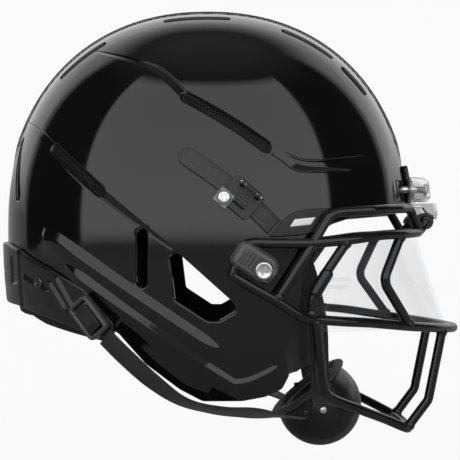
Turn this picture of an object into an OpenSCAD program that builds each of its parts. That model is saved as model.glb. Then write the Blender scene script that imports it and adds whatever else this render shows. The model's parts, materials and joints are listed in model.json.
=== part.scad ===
// Gridiron football helmet: vented shell, hinged face mask with clear visor, pads and chin strap.
// Millimetres. +X is the way the wearer faces, +Y is the wearer's left, +Z is up.
// The origin is on the middle plane, at the centre of the head cavity.

/* [Shell] */
// Half the shell's length, back to brow
shell_a = 142; // [140:1:144]
// Half the shell's width, ear to ear
shell_b = 118; // [117:1:120]
// Height of the crown above the widest level
crown_h = 151; // [148:1:154]
// Height of the widest level above the origin
belt_z = 10; // [8:1:12]
// Wall thickness
wall = 3.8; // [3.4:0.1:4.2]
// How far the crown spine stands proud
spine_step = 1.6; // [1:0.1:2]
// Half width of the crown spine
spine_w = 23; // [18:1:26]
// Level of the brow edge at the middle
brow_z = 23; // [21:1:24]
// Level of the flat underside of the jaw flaps
jaw_z = -104.6; // [-105:0.1:-104]

/* [Face mask] */
// Radius of the mask wire
bar_r = 3.25; // [3:0.05:3.4]
// Gap between shell surface and bar centre line
bar_gap = 5.4; // [5.2:0.1:6]
// Pivot line in the front clips, forward of the origin
pivot_x = 151; // [150.5:0.1:151.5]
// Pivot line in the front clips, above the origin
pivot_z = 13; // [12.5:0.1:13.5]
// Foremost reach of the mask at mouth level
mask_nose_x = 175; // [173:1:177]
// Thickness of the visor sheet
visor_t = 2.4; // [2:0.1:2.8]

/* [Padding] */
// Thickness of the liner pads
pad_t = 18; // [14:1:20]
// Gap between liner pads and shell wall
pad_gap = 1.2; // [0.8:0.1:2]

/* [Chin strap] */
// Strap thickness
strap_t = 1.2; // [1:0.1:1.4]
// Strap width
strap_w = 13; // [11:0.5:14]
// Half the chin cup's width
cup_b = 43; // [41:1:44]
// Wall thickness of the hard cup
cup_wall = 2.6; // [2.2:0.1:3]

/* [Hidden] */

// Roundness of the shell: 2 is an ellipsoid, more is squarer
squareness = 2.2;
// Depth at which the lower half of the shell form would close
skirt_h = 220;
hull_fn = 32;
fine_fn = 64;
running = 0.08;       // radial clearance of a pin in its bore
big = 400;

// ---- geometry of the shell surface -------------------------------------------------------

function unit(v) = v / norm(v);
function drop(z) = z > belt_z ? crown_h : skirt_h;
function share(v, half) = pow(abs(v) / half, squareness);
function rest_of(a) = pow(max(0, 1 - a), 1 / squareness);
function tilt(v, half) = sign(v) * pow(abs(v) / half, squareness - 1) / half;

// Outward direction of the shell surface at q
function outward(q) = unit([tilt(q[0], shell_a), tilt(q[1], shell_b), tilt(q[2] - belt_z, drop(q[2]))]);
// Point d millimetres off the surface point q
function off(q, d) = q + d * outward(q);
// Surface points: on the wearer's right side, on the front, on the crown, and by compass angle
function right_at(x, z) = [x, -shell_b * rest_of(share(x, shell_a) + share(z - belt_z, drop(z))), z];
function front_at(y, z) = [shell_a * rest_of(share(y, shell_b) + share(z - belt_z, drop(z))), y, z];
function crown_at(x, y) = [x, y, belt_z + crown_h * rest_of(share(x, shell_a) + share(y, shell_b))];
function compass_at(a, z) =
    let (level = rest_of(share(z - belt_z, drop(z))),
         r = level / pow(share(cos(a), shell_a) + share(sin(a), shell_b), 1 / squareness))
    [r * cos(a), r * sin(a), z];

// The surface point on the line from the centre of the belt through v
function onto_shell(v) =
    let (c = [0, 0, belt_z],
         size = share(v[0], shell_a) + share(v[1], shell_b) + share(v[2] - belt_z, drop(v[2])))
    c + (v - c) / pow(size, 1 / squareness);

// Catmull-Rom curve through a list of points, n steps for each span
function bend(p0, p1, p2, p3, t) =
    0.5 * (2 * p1 + (p2 - p0) * t + (2 * p0 - 5 * p1 + 4 * p2 - p3) * t * t
    + (3 * p1 - p0 - 3 * p2 + p3) * t * t * t);
function smooth(p, n) = let (m = len(p) - 1) [
    for (i = [0:m - 1], k = [0:n - 1])
        bend(p[max(0, i - 1)], p[i], p[i + 1], p[min(m, i + 2)], k / n),
    p[m]];

// ---- building blocks ---------------------------------------------------------------------

// Closed sheet between two grids of points that have the same number of rows and columns
module sheet(outer, inner) {
    rows = len(outer);
    cols = len(outer[0]);
    n = rows * cols;
    edge = concat(
        [for (j = [0:cols - 1]) j],
        [for (i = [1:rows - 1]) i * cols + cols - 1],
        [for (j = [cols - 2:-1:0]) (rows - 1) * cols + j],
        [for (i = [rows - 2:-1:1]) i * cols]);
    m = len(edge);
    polyhedron(
        concat([for (r = outer) each r], [for (r = inner) each r]),
        concat(
            [for (i = [0:rows - 2], j = [0:cols - 2], k = [0, 1])
                let (a = i * cols + j, b = a + 1, c = a + cols, d = c + 1)
                k == 0 ? [a, b, d] : [a, d, c]],
            [for (i = [0:rows - 2], j = [0:cols - 2], k = [0, 1])
                let (a = n + i * cols + j, b = a + 1, c = a + cols, d = c + 1)
                k == 0 ? [a, d, b] : [a, c, d]],
            [for (e = [0:m - 1], k = [0, 1])
                let (a = edge[e], b = edge[(e + 1) % m])
                k == 0 ? [a, n + a, n + b] : [a, n + b, b]]));
}

// Flat strap along a list of [centre point, outward direction, half width]
module ribbon(line, d0, d1) {
    last = len(line) - 1;
    across = [for (i = [0:last])
        let (run = unit(line[min(last, i + 1)][0] - line[max(0, i - 1)][0]))
        unit(cross(line[i][1], run)) * line[i][2]];
    sheet(
        [for (i = [0:last]) [for (s = [-1, 0, 1]) line[i][0] + d1 * line[i][1] + s * across[i]]],
        [for (i = [0:last]) [for (s = [-1, 0, 1]) line[i][0] + d0 * line[i][1] + s * across[i]]]);
}

// Puts children on the shell: their +Z points outward and their +X forward along the surface
module on_shell(q, lift = 0, spin = 0) {
    n = outward(q);
    f = unit([1, 0, 0] - n * n[0]);
    u = cross(n, f);
    p = q + lift * n;
    multmatrix([
        [f[0], u[0], n[0], p[0]],
        [f[1], u[1], n[1], p[1]],
        [f[2], u[2], n[2], p[2]],
        [0, 0, 0, 1]]) rotate([0, 0, spin]) children();
}

module hull_of(points) hull() polyhedron(points, [for (i = [0:len(points) - 3]) [i, i + 1, i + 2]]);

module wire(path, r, fn) {
    for (i = [0:len(path) - 2]) hull() {
        translate(path[i]) sphere(r, $fn = fn);
        translate(path[i + 1]) sphere(r, $fn = fn);
    }
}

module both_sides() {
    children();
    mirror([0, 1, 0]) children();
}

// Block with rounded corners, standing on its bottom face
module rounded_block(x, y, z, r) {
    hull() for (sx = [-1, 1], sy = [-1, 1]) translate([sx * (x / 2 - r), sy * (y / 2 - r), 0]) {
        cylinder(h = z - r / 2, r = r, $fn = hull_fn);
        cylinder(h = z, r = r / 2, $fn = hull_fn);
    }
}

// ---- shell -------------------------------------------------------------------------------

rim_t = -42;          // latitude of the lowest ring of the shell form
rings = 18;
spokes = 48;
spine_low_z = 62;     // the raised spine ends above this level

function spine_rise(q) = abs(q[1]) < spine_w && q[2] > spine_low_z ? spine_step : 0;
// Every point of the shell form, d off the surface, without the cut-outs
function form_points(d) = [
    for (i = [0:rings])
        let (t = rim_t + (90 - rim_t) * i / rings,
             z = belt_z + (t < 0 ? skirt_h : crown_h) * sign(t) * pow(abs(sin(t)), 2 / squareness) * 0.9999)
        for (j = [0:spokes - 1]) let (q = compass_at(360 * j / spokes, z))
            off(q, d == 0 ? spine_rise(q) : d)];

// Slot through the wall between two surface points
module slot(p, q, r, depth = 12) {
    hull() for (s = [p, q], d = [-depth, depth / 2]) translate(off(s, d)) sphere(r, $fn = 12);
}

// Ends of the crown vents on the right side
crown_vents = [
    [crown_at(-99, -44), crown_at(-72, -46), 3],
    [crown_at(-27, -44), crown_at(13, -44), 3],
    [crown_at(54, -45), crown_at(84, -44), 3],
    [crown_at(95, -46), crown_at(107, -45), 3.6]];
// Ends of the screened vents on the right side
screened_vents = [
    [right_at(-13, 94), right_at(40, 60), 3.4],
    [right_at(-101, 61), right_at(-69, 32), 3.4]];
rear_vent = [compass_at(196, 68), compass_at(203, 30), 3.2];
ear_slot = [[-41, 4], [-41, -27]];
ear_slot_r = 3.6;
ear_hole = [[-23, -9], [-17.4, -8.3], [19.5, -41.4], [19, -46], [9.3, -51.6], [1.5, -51.6],
    [-19.4, -38]];
// Side outline of everything cut away below and in front of the shell
lower_outline = [
    [200, brow_z], [142, brow_z], [104, 17], [82, 10], [69, 0], [64, -14], [63, -38], [58, -52],
    [55, -61], [52, -74], [54.5, -88], [50, -97], [39, -102], [24, jaw_z], [-2, jaw_z],
    [-17, -96.6], [-39, -80], [-57, -60], [-76, -54], [-97, -47], [-125, -41], [-200, -40],
    [-200, -250], [200, -250]];

module side_cut(outline, r) {
    rotate([90, 0, 0]) linear_extrude(height = big, center = true)
        offset(r = r, $fn = hull_fn) offset(delta = -r) polygon(outline);
}

module outer_shell() color([0.03, 0.03, 0.035]) {
    difference() {
        hull_of(form_points(0));
        hull_of(form_points(-wall));
        side_cut(lower_outline, 3);
        side_cut(ear_hole, 2);
        both_sides() {
            for (v = crown_vents) slot(v[0], v[1], v[2]);
            for (v = screened_vents) slot(v[0], v[1], v[2]);
            slot(rear_vent[0], rear_vent[1], rear_vent[2]);
            hull() for (p = ear_slot) translate([p[0], -shell_b, p[1]])
                rotate([90, 0, 0]) cylinder(h = 60, r = ear_slot_r, center = true, $fn = 24);
            on_shell(clip_q, 0, clip_spin) translate(clip_button_xy)
                cylinder(h = 30, r = receptacle_r + 0.2, center = true, $fn = 24);
            on_shell(cam_q, 0, cam_spin) translate(cam_screw_xy)
                cylinder(h = 30, r = cam_screw_r + 0.3, center = true, $fn = 24);
            translate([shell_a, -clip_y, clip_screw_z]) rotate([0, 90, 0])
                cylinder(h = 40, r = clip_screw_r + 0.3, center = true, $fn = 24);
            on_shell(bumper_screw_q) cylinder(h = 30, r = bumper_screw_r + 0.3, center = true, $fn = 24);
        }
    }
}

// Perforated screens that fill the long vents
screen_t = 1.2;
module screen_layer(v) {
    line = [for (k = [0:6]) let (q = onto_shell(v[0] + (v[1] - v[0]) * k / 6))
        [q, outward(v[0] + v[1]), v[2] - 0.7]];
    ribbon(line, -wall + 0.6, -wall + 0.6 + screen_t);
}
module vent_screens() color([0.06, 0.06, 0.06]) both_sides() for (v = screened_vents) screen_layer(v);

// ---- rear bumper and nape ----------------------------------------------------------------

bumper_t = 3.4;
bumper_gap = 0.3;
bumper_reach = 61;    // compass angle either side of straight back
bumper_steps = 24;
bumper_screw_r = 2.2;
bumper_screw_head_r = 4.2;
bumper_screw_q = compass_at(180 + 36, -28);
function bumper_top(a) = lookup(a, [[0, -1], [18, -2], [26, -6], [40, -18], [52, -31], [62, -56]]);
function bumper_bottom(a) = lookup(a, [[0, -41.5], [24, -44], [42, -53], [52, -60], [62, -66]]);
function bumper_grid(d) = [
    for (i = [0:bumper_steps])
        let (a = -bumper_reach + 2 * bumper_reach * i / bumper_steps)
        [for (k = [0:4])
            let (z = bumper_top(abs(a)) + (bumper_bottom(abs(a)) - bumper_top(abs(a))) * k / 4)
            off(compass_at(180 + a, z), d)]];
module rear_bumper() color([0.05, 0.05, 0.055]) difference() {
    sheet(bumper_grid(bumper_gap + bumper_t), bumper_grid(bumper_gap));
    both_sides() on_shell(bumper_screw_q) {
        cylinder(h = 30, r = bumper_screw_r + 0.3, center = true, $fn = fine_fn);
        translate([0, 0, bumper_t - 1.2]) cylinder(h = 10, r = bumper_screw_head_r + 0.3, $fn = fine_fn);
    }
}

// Cross-slotted screw: head outward from the origin plane, shank inward
module screw(head_r, head_h, shank_r, shank_l) {
    difference() {
        cylinder(h = head_h, r = head_r, $fn = fine_fn);
        translate([0, 0, head_h - 1]) for (s = [0, 90]) rotate(s)
            translate([-head_r * 0.6, -0.6, 0]) cube([head_r * 1.2, 1.2, 2]);
    }
    translate([0, 0, -shank_l]) cylinder(h = shank_l + 0.1, r = shank_r, $fn = fine_fn);
}
module rear_bumper_screws() color("silver") both_sides() on_shell(bumper_screw_q, bumper_t - 1)
    screw(bumper_screw_head_r, 1.6, bumper_screw_r, 9);

nape_reach = 56;
nape_steps = 20;
function nape_bottom(a) = lookup(a, [[0, -52], [24, -53], [32, -58], [56, -68]]);
function nape_grid(d) = [
    for (i = [0:nape_steps])
        let (a = -nape_reach + 2 * nape_reach * i / nape_steps, low = nape_bottom(abs(a)))
        [for (k = [0:3]) off(compass_at(180 + a, low + 17 * k / 3), d - (k == 0 ? 2 : 0))]];
module nape_pad() color([0.08, 0.08, 0.08]) sheet(nape_grid(-wall - 0.9), nape_grid(-wall - 13));

// ---- front bumper and clips --------------------------------------------------------------

front_bumper_w = 24;  // half width
front_bumper_z = [26, 52];
front_bumper_t = 4.2;
function front_bumper_grid(d) = [
    for (z = [front_bumper_z[0]:(front_bumper_z[1] - front_bumper_z[0]) / 4:front_bumper_z[1] + 0.01])
        [for (k = [-3:3]) off(front_at(k / 3 * (front_bumper_w - (z > 50 ? 3 : 0)), z), d)]];
module front_bumper() color([0.05, 0.05, 0.05])
    sheet(front_bumper_grid(0.15), front_bumper_grid(front_bumper_t));

clip_y = 33;          // centre of each front clip either side of the middle
clip_half = 6;        // half its width
clip_screw_z = 35;
clip_screw_r = 2.4;
clip_seat_x = 139.4;  // plane that the clips bear on, just off the shell
hook_r = bar_r + running;
hook_wall = 3.2;
module front_clip_body() difference() {
    hull() for (y = [-clip_half, clip_half]) translate([clip_seat_x, y - clip_y, 0]) {
        translate([0, 0, 27]) rotate([90, 0, 0]) cylinder(h = 0.5, r = 0.5, center = true, $fn = 16);
        translate([1, 0, 43]) rotate([90, 0, 0]) cylinder(h = 0.5, r = 1, center = true, $fn = 16);
        translate([12, 0, 41]) rotate([90, 0, 0]) cylinder(h = 0.5, r = 2.5, center = true, $fn = 16);
        translate([14, 0, 27.5]) rotate([90, 0, 0]) cylinder(h = 0.5, r = 1.5, center = true, $fn = 16);
    }
    translate([clip_seat_x + 7, -clip_y, clip_screw_z]) rotate([0, 90, 0]) {
        cylinder(h = 40, r = clip_screw_r + 0.2, center = true, $fn = fine_fn);
        translate([0, 0, 5]) cylinder(h = 20, r = 5, $fn = fine_fn);
    }
}
module front_clip_bodies() color([0.85, 0.87, 0.9, 0.5]) both_sides() front_clip_body();

// Hook that carries the mask's top bar: a ring round the bar, open towards the shell, on a stem
module front_clip_hook() difference() {
    translate([pivot_x, -clip_y, pivot_z]) rotate([90, 0, 0]) union() {
        cylinder(h = 2 * clip_half - 2, r = hook_r + hook_wall, center = true, $fn = fine_fn);
        translate([-4, 3, -clip_half + 1]) cube([9.4, 9.6, 2 * clip_half - 2]);
        translate([-4 - 7.4, 9.2, -clip_half + 1]) cube([8, 3.4, 2 * clip_half - 2]);
    }
    translate([pivot_x, -clip_y, pivot_z]) rotate([90, 0, 0]) {
        cylinder(h = big, r = hook_r, center = true, $fn = fine_fn);
        rotate(215) translate([0, -2.1, -big / 2]) cube([20, 4.2, big]);
    }
}
module front_clip_hooks() color([0.05, 0.05, 0.05]) both_sides() front_clip_hook();
module front_clip_screws() color("silver") both_sides()
    translate([clip_seat_x + 12.2, -clip_y, clip_screw_z]) rotate([0, 90, 0])
        screw(4.7, 2.6, clip_screw_r, 20);

// ---- side panels beside the brow ---------------------------------------------------------

panel_t = 1.3;
panel_top = [[49.8, 13.2], [57, 17.8], [67, 20], [80, 20.6]];
panel_bottom = [[40.4, 1.8], [48, 2], [62, 3], [72.5, 6]];
function panel_grid(d) = let (top = smooth(panel_top, 3), low = smooth(panel_bottom, 3))
    [for (i = [0:len(top) - 1]) [for (k = [0:3])
        let (c = top[i] + (low[i] - top[i]) * k / 3) off(right_at(c[0], c[1]), d)]];
module side_panel() sheet(panel_grid(0.12), panel_grid(0.12 + panel_t));
module side_panel_right() color([0.09, 0.09, 0.09]) side_panel();
module side_panel_left() color([0.09, 0.09, 0.09]) mirror([0, 1, 0]) side_panel();

// ---- liner pads --------------------------------------------------------------------------

pad_out = -wall - pad_gap;
pad_in = pad_out - pad_t;
function pad_step(i, n) = i == 0 || i == n ? 3.5 : 0;
// Pad over a compass range and a range of levels; its outer face is rounded back at the edges
function pad_grid(a, z, na, nz, d, soft) = [for (i = [0:na]) [for (k = [0:nz])
    off(compass_at(a[0] + (a[1] - a[0]) * i / na, z[0] + (z[1] - z[0]) * k / nz),
        d + soft * max(pad_step(i, na), pad_step(k, nz)))]];
module liner_pad(a, z, na, nz)
    sheet(pad_grid(a, z, na, nz, pad_out, -1), pad_grid(a, z, na, nz, pad_in, 1));
function crown_pad_grid(d, soft) = [for (i = [-4:4]) [for (k = [-3:3])
    off(crown_at(i * 14, k * 15), d + soft * (abs(i) == 4 || abs(k) == 3 ? 3.5 : 0))]];
module crown_pad() color([0.12, 0.12, 0.13]) sheet(crown_pad_grid(pad_in, 1), crown_pad_grid(pad_out, -1));
module front_pad() color([0.12, 0.12, 0.13]) liner_pad([-36, 36], [13, 100], 8, 5);
module back_pad() color([0.12, 0.12, 0.13]) liner_pad([122, 238], [-30, 92], 12, 6);
module side_pad() liner_pad([-116, -42], [16, 98], 8, 4);
module side_pad_right() color([0.12, 0.12, 0.13]) side_pad();
module side_pad_left() color([0.12, 0.12, 0.13]) mirror([0, 1, 0]) side_pad();

jaw_x = [26, 84];
function jaw_top(x) = lookup(x,
    [[26, -44], [40, -30], [56, -16], [66, -18], [74, -32], [80, -48], [84, -78]]);
function jaw_low(x) = lookup(x, [[26, -98], [60, -97], [84, -91]]);
function jaw_hide(x) = lookup(x, [[50, 0], [64, 9], [84, 13]]);
jaw_steps = [9, 6];
function jaw_grid(inner) = [for (i = [0:jaw_steps[0]]) [for (k = [0:jaw_steps[1]])
    let (x = jaw_x[0] + (jaw_x[1] - jaw_x[0]) * i / jaw_steps[0],
         z = jaw_low(x) + (jaw_top(x) - jaw_low(x)) * k / jaw_steps[1],
         soft = (i == 0 || i == jaw_steps[0] || k == 0 || k == jaw_steps[1]) ? 4 : 0)
    off(right_at(x, z), inner ? -31 + soft : -wall - pad_gap - soft - jaw_hide(x))]];
module jaw_pad() sheet(jaw_grid(false), jaw_grid(true));
module jaw_pad_right() color([0.13, 0.13, 0.14]) jaw_pad();
module jaw_pad_left() color([0.13, 0.13, 0.14]) mirror([0, 1, 0]) jaw_pad();
module jaw_pad_snaps() color([0.05, 0.05, 0.05]) both_sides() for (p = [[38, -60], [38, -86]])
    on_shell(right_at(p[0], p[1]), -wall - pad_gap + 0.1) cylinder(h = 0.4, r = 6, $fn = fine_fn);

// ---- high strap and its cam lever --------------------------------------------------------

cam_q = right_at(24, 27);
cam_spin = -40;       // direction of the strap on the shell, degrees below straight ahead
cam_screw_xy = [-9.5, -8.5, 0];
cam_screw_r = 2;
cam_pin_r = 1.2;
cam_hinge = [0, 6.6, 5.4]; // hinge line in the cam's own frame, along the strap
cam_lever_x = [-4.2, 5.2];
function high_strap_line(n) = let (p = smooth([[-13, 54], [3, 43], [24, 27], [43.7, 8.3]], n))
    [for (i = [0:len(p) - 1]) let (q = right_at(p[i][0], p[i][1]))
        [q, outward(q), i == 0 ? strap_w * 0.3 : i == 1 ? strap_w * 0.44 : strap_w * 0.48]];
module high_strap() ribbon(high_strap_line(4), 0.15, 0.15 + strap_t);
module high_strap_right() color([0.1, 0.1, 0.1]) high_strap();
module high_strap_left() color([0.1, 0.1, 0.1]) mirror([0, 1, 0]) high_strap();

cam_lever_w = cam_lever_x[1] - cam_lever_x[0];
module cam_base() on_shell(cam_q, 0, cam_spin) difference() {
    union() {
        translate([-1, -1, 1.7]) rounded_block(24, 20, 1.5, 3);
        translate([cam_screw_xy[0], cam_screw_xy[1], 0.3]) difference() {
            cylinder(h = 1.6, r = 4, $fn = fine_fn);
            translate([-5, 1.6, -1]) cube([10, 5, 2.3]);
        }
        for (x = [cam_lever_x[0] - 3.2, cam_lever_x[1] + 0.2])
            translate([x, cam_hinge[1] - 2.2, 2]) cube([3, 4.4, cam_hinge[2] + 0.4]);
    }
    translate([-20, cam_hinge[1], cam_hinge[2]]) rotate([0, 90, 0])
        cylinder(h = 40, r = cam_pin_r + running, $fn = fine_fn);
    translate(cam_screw_xy) cylinder(h = 30, r = cam_screw_r + 0.2, center = true, $fn = fine_fn);
}
module cam_base_right() color([0.08, 0.08, 0.08]) cam_base();
module cam_base_left() color([0.08, 0.08, 0.08]) mirror([0, 1, 0]) cam_base();

module cam_lever() on_shell(cam_q, 0, cam_spin) difference() {
    union() {
        translate([cam_lever_x[0], -4.4, 4.3]) cube([cam_lever_w, 4.4 + cam_hinge[1], 2.2]);
        translate([cam_lever_x[0], cam_hinge[1], cam_hinge[2]]) rotate([0, 90, 0])
            cylinder(h = cam_lever_w, r = 2, $fn = fine_fn);
        translate([cam_lever_x[0], -6.4, 4.3]) cube([cam_lever_w, 2.4, 3.4]);
    }
    translate([-20, cam_hinge[1], cam_hinge[2]]) rotate([0, 90, 0])
        cylinder(h = 40, r = cam_pin_r + running, $fn = fine_fn);
}
module cam_lever_right() color([0.14, 0.14, 0.15]) cam_lever();
module cam_lever_left() color([0.14, 0.14, 0.15]) mirror([0, 1, 0]) cam_lever();
module cam_pins() color("silver") both_sides() on_shell(cam_q, 0, cam_spin)
    translate([-8, cam_hinge[1], cam_hinge[2]]) rotate([0, 90, 0])
        cylinder(h = 17, r = cam_pin_r, $fn = fine_fn);
module cam_washers() color([0.8, 0.82, 0.85, 0.5]) both_sides() on_shell(cam_q, 3.25, cam_spin)
    translate(cam_screw_xy) difference() {
        translate([-5, -5, 0]) cube([10, 10, 0.8]);
        cylinder(h = 4, r = cam_screw_r + 0.2, center = true, $fn = fine_fn);
    }
module cam_screws() color("silver") both_sides() on_shell(cam_q, 4.1, cam_spin)
    translate(cam_screw_xy) screw(4.2, 2, cam_screw_r, 8.4);

// ---- low strap buckle --------------------------------------------------------------------

buckle_q = right_at(-72, -49);
buckle_spin = -49;
buckle_lift = bumper_gap + bumper_t + 0.15;
buckle_l = 27;
buckle_w = 17;
buckle_pin_r = 1.2;
buckle_hinge = [-8, 0, 4.2];
module buckle_frame() on_shell(buckle_q, buckle_lift, buckle_spin) difference() {
    union() {
        difference() {
            rounded_block(buckle_l, buckle_w, 6.4, 3.4);
            translate([0, 0, 2]) rounded_block(buckle_l - 6, buckle_w - 6, 20, 2);
        }
        translate([4, -3, 0]) cube([4, 6, 2.6]);
    }
    translate([buckle_hinge[0], 0, buckle_hinge[2]]) rotate([90, 0, 0])
        cylinder(h = buckle_w - 2, r = buckle_pin_r + running, center = true, $fn = fine_fn);
}
module buckle_frame_right() color([0.06, 0.06, 0.06]) buckle_frame();
module buckle_frame_left() color([0.06, 0.06, 0.06]) mirror([0, 1, 0]) buckle_frame();
module buckle_lever() on_shell(buckle_q, buckle_lift, buckle_spin) difference() {
    union() {
        translate([buckle_hinge[0], 0, buckle_hinge[2]]) rotate([90, 0, 0])
            cylinder(h = 9, r = 2.1, center = true, $fn = fine_fn);
        translate([buckle_hinge[0] + 0.4, -5, 3.2]) cube([16.8, 10, 2.6]);
        translate([buckle_hinge[0] + 14.4, -5, 3.2]) cube([2.8, 10, 4.2]);
    }
    translate([buckle_hinge[0], 0, buckle_hinge[2]]) rotate([90, 0, 0])
        cylinder(h = 40, r = buckle_pin_r + running, center = true, $fn = fine_fn);
}
module buckle_lever_right() color([0.12, 0.12, 0.12]) buckle_lever();
module buckle_lever_left() color([0.12, 0.12, 0.12]) mirror([0, 1, 0]) buckle_lever();
module buckle_pins() color("silver") both_sides() on_shell(buckle_q, buckle_lift, buckle_spin)
    translate([buckle_hinge[0], 0, buckle_hinge[2]]) rotate([90, 0, 0])
        cylinder(h = buckle_w - 2.4, r = buckle_pin_r, center = true, $fn = fine_fn);

// ---- face mask ---------------------------------------------------------------------------

mask_b = 118;         // half width of the mask's outline
mask_top_z = 5;
mask_mouth_z = -60;
function mask_fall(z) = (mask_top_z - z) / (mask_top_z - mask_mouth_z);
function mask_reach(z) = pivot_x + (mask_nose_x - pivot_x) * mask_fall(z);
function mask_square(z) = 2.6 - 0.8 * mask_fall(z);
// Point of the mask's outline at half width y and level z, moved d outward in plan
function mask_at(y, z, d = 0) = let (n = mask_square(z))
    [(mask_reach(z) + d) * pow(max(0, 1 - pow(abs(y) / (mask_b + d), n)), 1 / n), y, z];
function beside(x, z) = off(right_at(x, z), bar_gap);

top_bar = [beside(44, -38), beside(62, -10), beside(75.5, 12.5), beside(78.5, 16), beside(84, 18),
    mask_at(-95, 19.5), mask_at(-88, 20.2), mask_at(-75, 21), mask_at(-62, 21.5), mask_at(-56, 20),
    mask_at(-53, 16.5), mask_at(-47.5, 5.8)];
eye_bar = [beside(17, -22), beside(21, -10), beside(27, -2.4), beside(42, -2), beside(64, -2),
    mask_at(-104, 0), mask_at(-92, 3), mask_at(-77, 4), mask_at(-58, 5), mask_at(-46, 6),
    [pivot_x - 1, -41.5, pivot_z - 2]];
mid_bar = [beside(17, -22), beside(30, -30), beside(44, -38), beside(58, -47), mask_at(-106, -51),
    mask_at(-98, -53), mask_at(-88, -54.5), mask_at(-67, -58), mask_at(-35, -61), mask_at(0, -62.5)];
side_bar = [mask_at(-106, -51), [74.4, -96, -78], [76.8, -89, -94], [82, -82, -104],
    [103, -66, -114], [122, -50, -122.5], [138.6, -36, -130.5], [141, 0, -131.5]];
chin_bar = [mask_at(-36, -61), [154, -36, -108], [152.2, -36, -112.5], [138.6, -36, -130.5]];
chevron = [mask_at(-77, 4), mask_at(-88, -27), mask_at(-67, -58)];
cheek_bar = [mask_at(-104, 0), mask_at(-108.5, -32), mask_at(-107, -50)];

module cage(r, fn) {
    both_sides() {
        wire(top_bar, r, fn);
        wire(smooth(eye_bar, 2), r, fn);
        wire(smooth(mid_bar, 2), r, fn);
        wire(smooth(side_bar, 2), r, fn);
        wire(chin_bar, r, fn);
        wire(chevron, r, fn);
        wire(smooth(cheek_bar, 2), r, fn);
    }
    wire([[pivot_x - 1, -41.5, pivot_z - 2], [pivot_x, -40, pivot_z], [pivot_x, -26, pivot_z],
        [pivot_x, -20, pivot_z - 2], [pivot_x, 0, pivot_z - 4], [pivot_x, 20, pivot_z - 2],
        [pivot_x, 26, pivot_z], [pivot_x, 40, pivot_z], [pivot_x - 1, 41.5, pivot_z - 2]], r, 16);
}
module face_mask() color([0.03, 0.03, 0.03]) cage(bar_r, 8);

// Clear clips that hold the mask's side loops against the shell, with the release button's bore
clip_q = right_at(32, -15);
clip_spin = -33;
clip_button_xy = [5, -1.5, 0];
button_r = 5.6;
receptacle_r = 4.2;
module side_clip() difference() {
    on_shell(clip_q, 0.7, clip_spin) difference() {
        rounded_block(33, 19, 11, 6);
        translate(clip_button_xy) {
            cylinder(h = 40, r = 3.4, center = true, $fn = hull_fn);
            translate([0, 0, 6]) cylinder(h = 20, r = button_r + running, $fn = hull_fn);
        }
    }
    wire(smooth(eye_bar, 2), bar_r + 0.2, 12);
    wire(smooth(mid_bar, 2), bar_r + 0.2, 12);
}
module side_clip_right() color([0.8, 0.82, 0.85, 0.5]) side_clip();
module side_clip_left() color([0.8, 0.82, 0.85, 0.5]) mirror([0, 1, 0]) side_clip();

// Round quick-release button with a cross slot; its pin stops just clear of the shell at rest
button_travel = 2;
module release_button() on_shell(clip_q, 0.7, clip_spin) translate(clip_button_xy) {
    translate([0, 0, 6 + button_travel + 0.2]) difference() {
        cylinder(h = 3.4, r = button_r, $fn = fine_fn);
        for (s = [0, 90]) rotate(s) translate([-3.6, -0.7, 2.4]) cube([7.2, 1.4, 4]);
    }
    translate([0, 0, -0.2]) cylinder(h = 8.6, r = 3.2, $fn = fine_fn);
}
module release_button_right() color("silver") release_button();
module release_button_left() color("silver") mirror([0, 1, 0]) release_button();
// Socket inside the shell that takes the pin
module clip_receptacles() color([0.2, 0.2, 0.2]) both_sides() on_shell(clip_q, 0.7, clip_spin)
    translate(clip_button_xy) translate([0, 0, -wall - 4.8]) difference() {
        cylinder(h = 3, r = 8, $fn = fine_fn);
        cylinder(h = 20, r = 3.5, center = true, $fn = fine_fn);
    }

// ---- visor -------------------------------------------------------------------------------

visor_inset = 7;
visor_z = [-60, 1];
visor_steps = 24;
visor_y = 99;
function visor_grid(d) = [
    for (i = [0:visor_steps]) let (y = visor_y * sin(-90 + 180 * i / visor_steps))
        [for (k = [0:3]) mask_at(y, visor_z[0] + (visor_z[1] - visor_z[0]) * k / 3, -visor_inset + d)]];
module visor() color([0.9, 0.93, 0.95, 0.3]) sheet(visor_grid(0), visor_grid(visor_t));
// Sleeves round the cheek bars with a short arm that holds the visor's edge
visor_clip_z = [-22, -34];
visor_arm_r = 1.3;
module visor_clip() difference() {
    union() {
        wire([mask_at(-107.4, visor_clip_z[0]), mask_at(-108.4, visor_clip_z[1])], bar_r + 2, 16);
        wire([mask_at(-107.9, -28), mask_at(-98, -28, -visor_inset + visor_t + visor_arm_r + 0.3)],
            visor_arm_r, 16);
    }
    wire(smooth(cheek_bar, 2), bar_r + 0.4, 12);
}
module visor_clips() color([0.05, 0.05, 0.05]) both_sides() visor_clip();

// ---- chin cup and straps -----------------------------------------------------------------

cup_c = [80, 0, -117];
cup_r = 30;           // radius of the cup seen from the side
cup_cut_tilt = -38;
cup_steps = 16;
module cup_form(shrink) translate(cup_c) rotate([90, 0, 0]) rotate_extrude($fn = fine_fn)
    polygon([for (i = [0:cup_steps]) let (t = -90 + 180 * i / cup_steps)
        [(cup_r - shrink) * max(0, cos(t)), (cup_b - shrink) * sin(t)]]);
module cup_opening(lift) translate(cup_c + [-8, 0, 8]) rotate([0, cup_cut_tilt, 0])
    translate([-big / 2, -big / 2, lift]) cube(big);
module chin_cup() color([0.05, 0.05, 0.05]) difference() {
    cup_form(0);
    cup_form(cup_wall);
    cup_opening(0);
}
module chin_pad() color([0.15, 0.15, 0.15]) difference() {
    cup_form(cup_wall + 0.2);
    cup_form(cup_wall + 7);
    cup_opening(-1);
}
function cup_side(p) = cup_b * sqrt(1 - (p[0] * p[0] + p[1] * p[1]) / (cup_r * cup_r));
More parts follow.
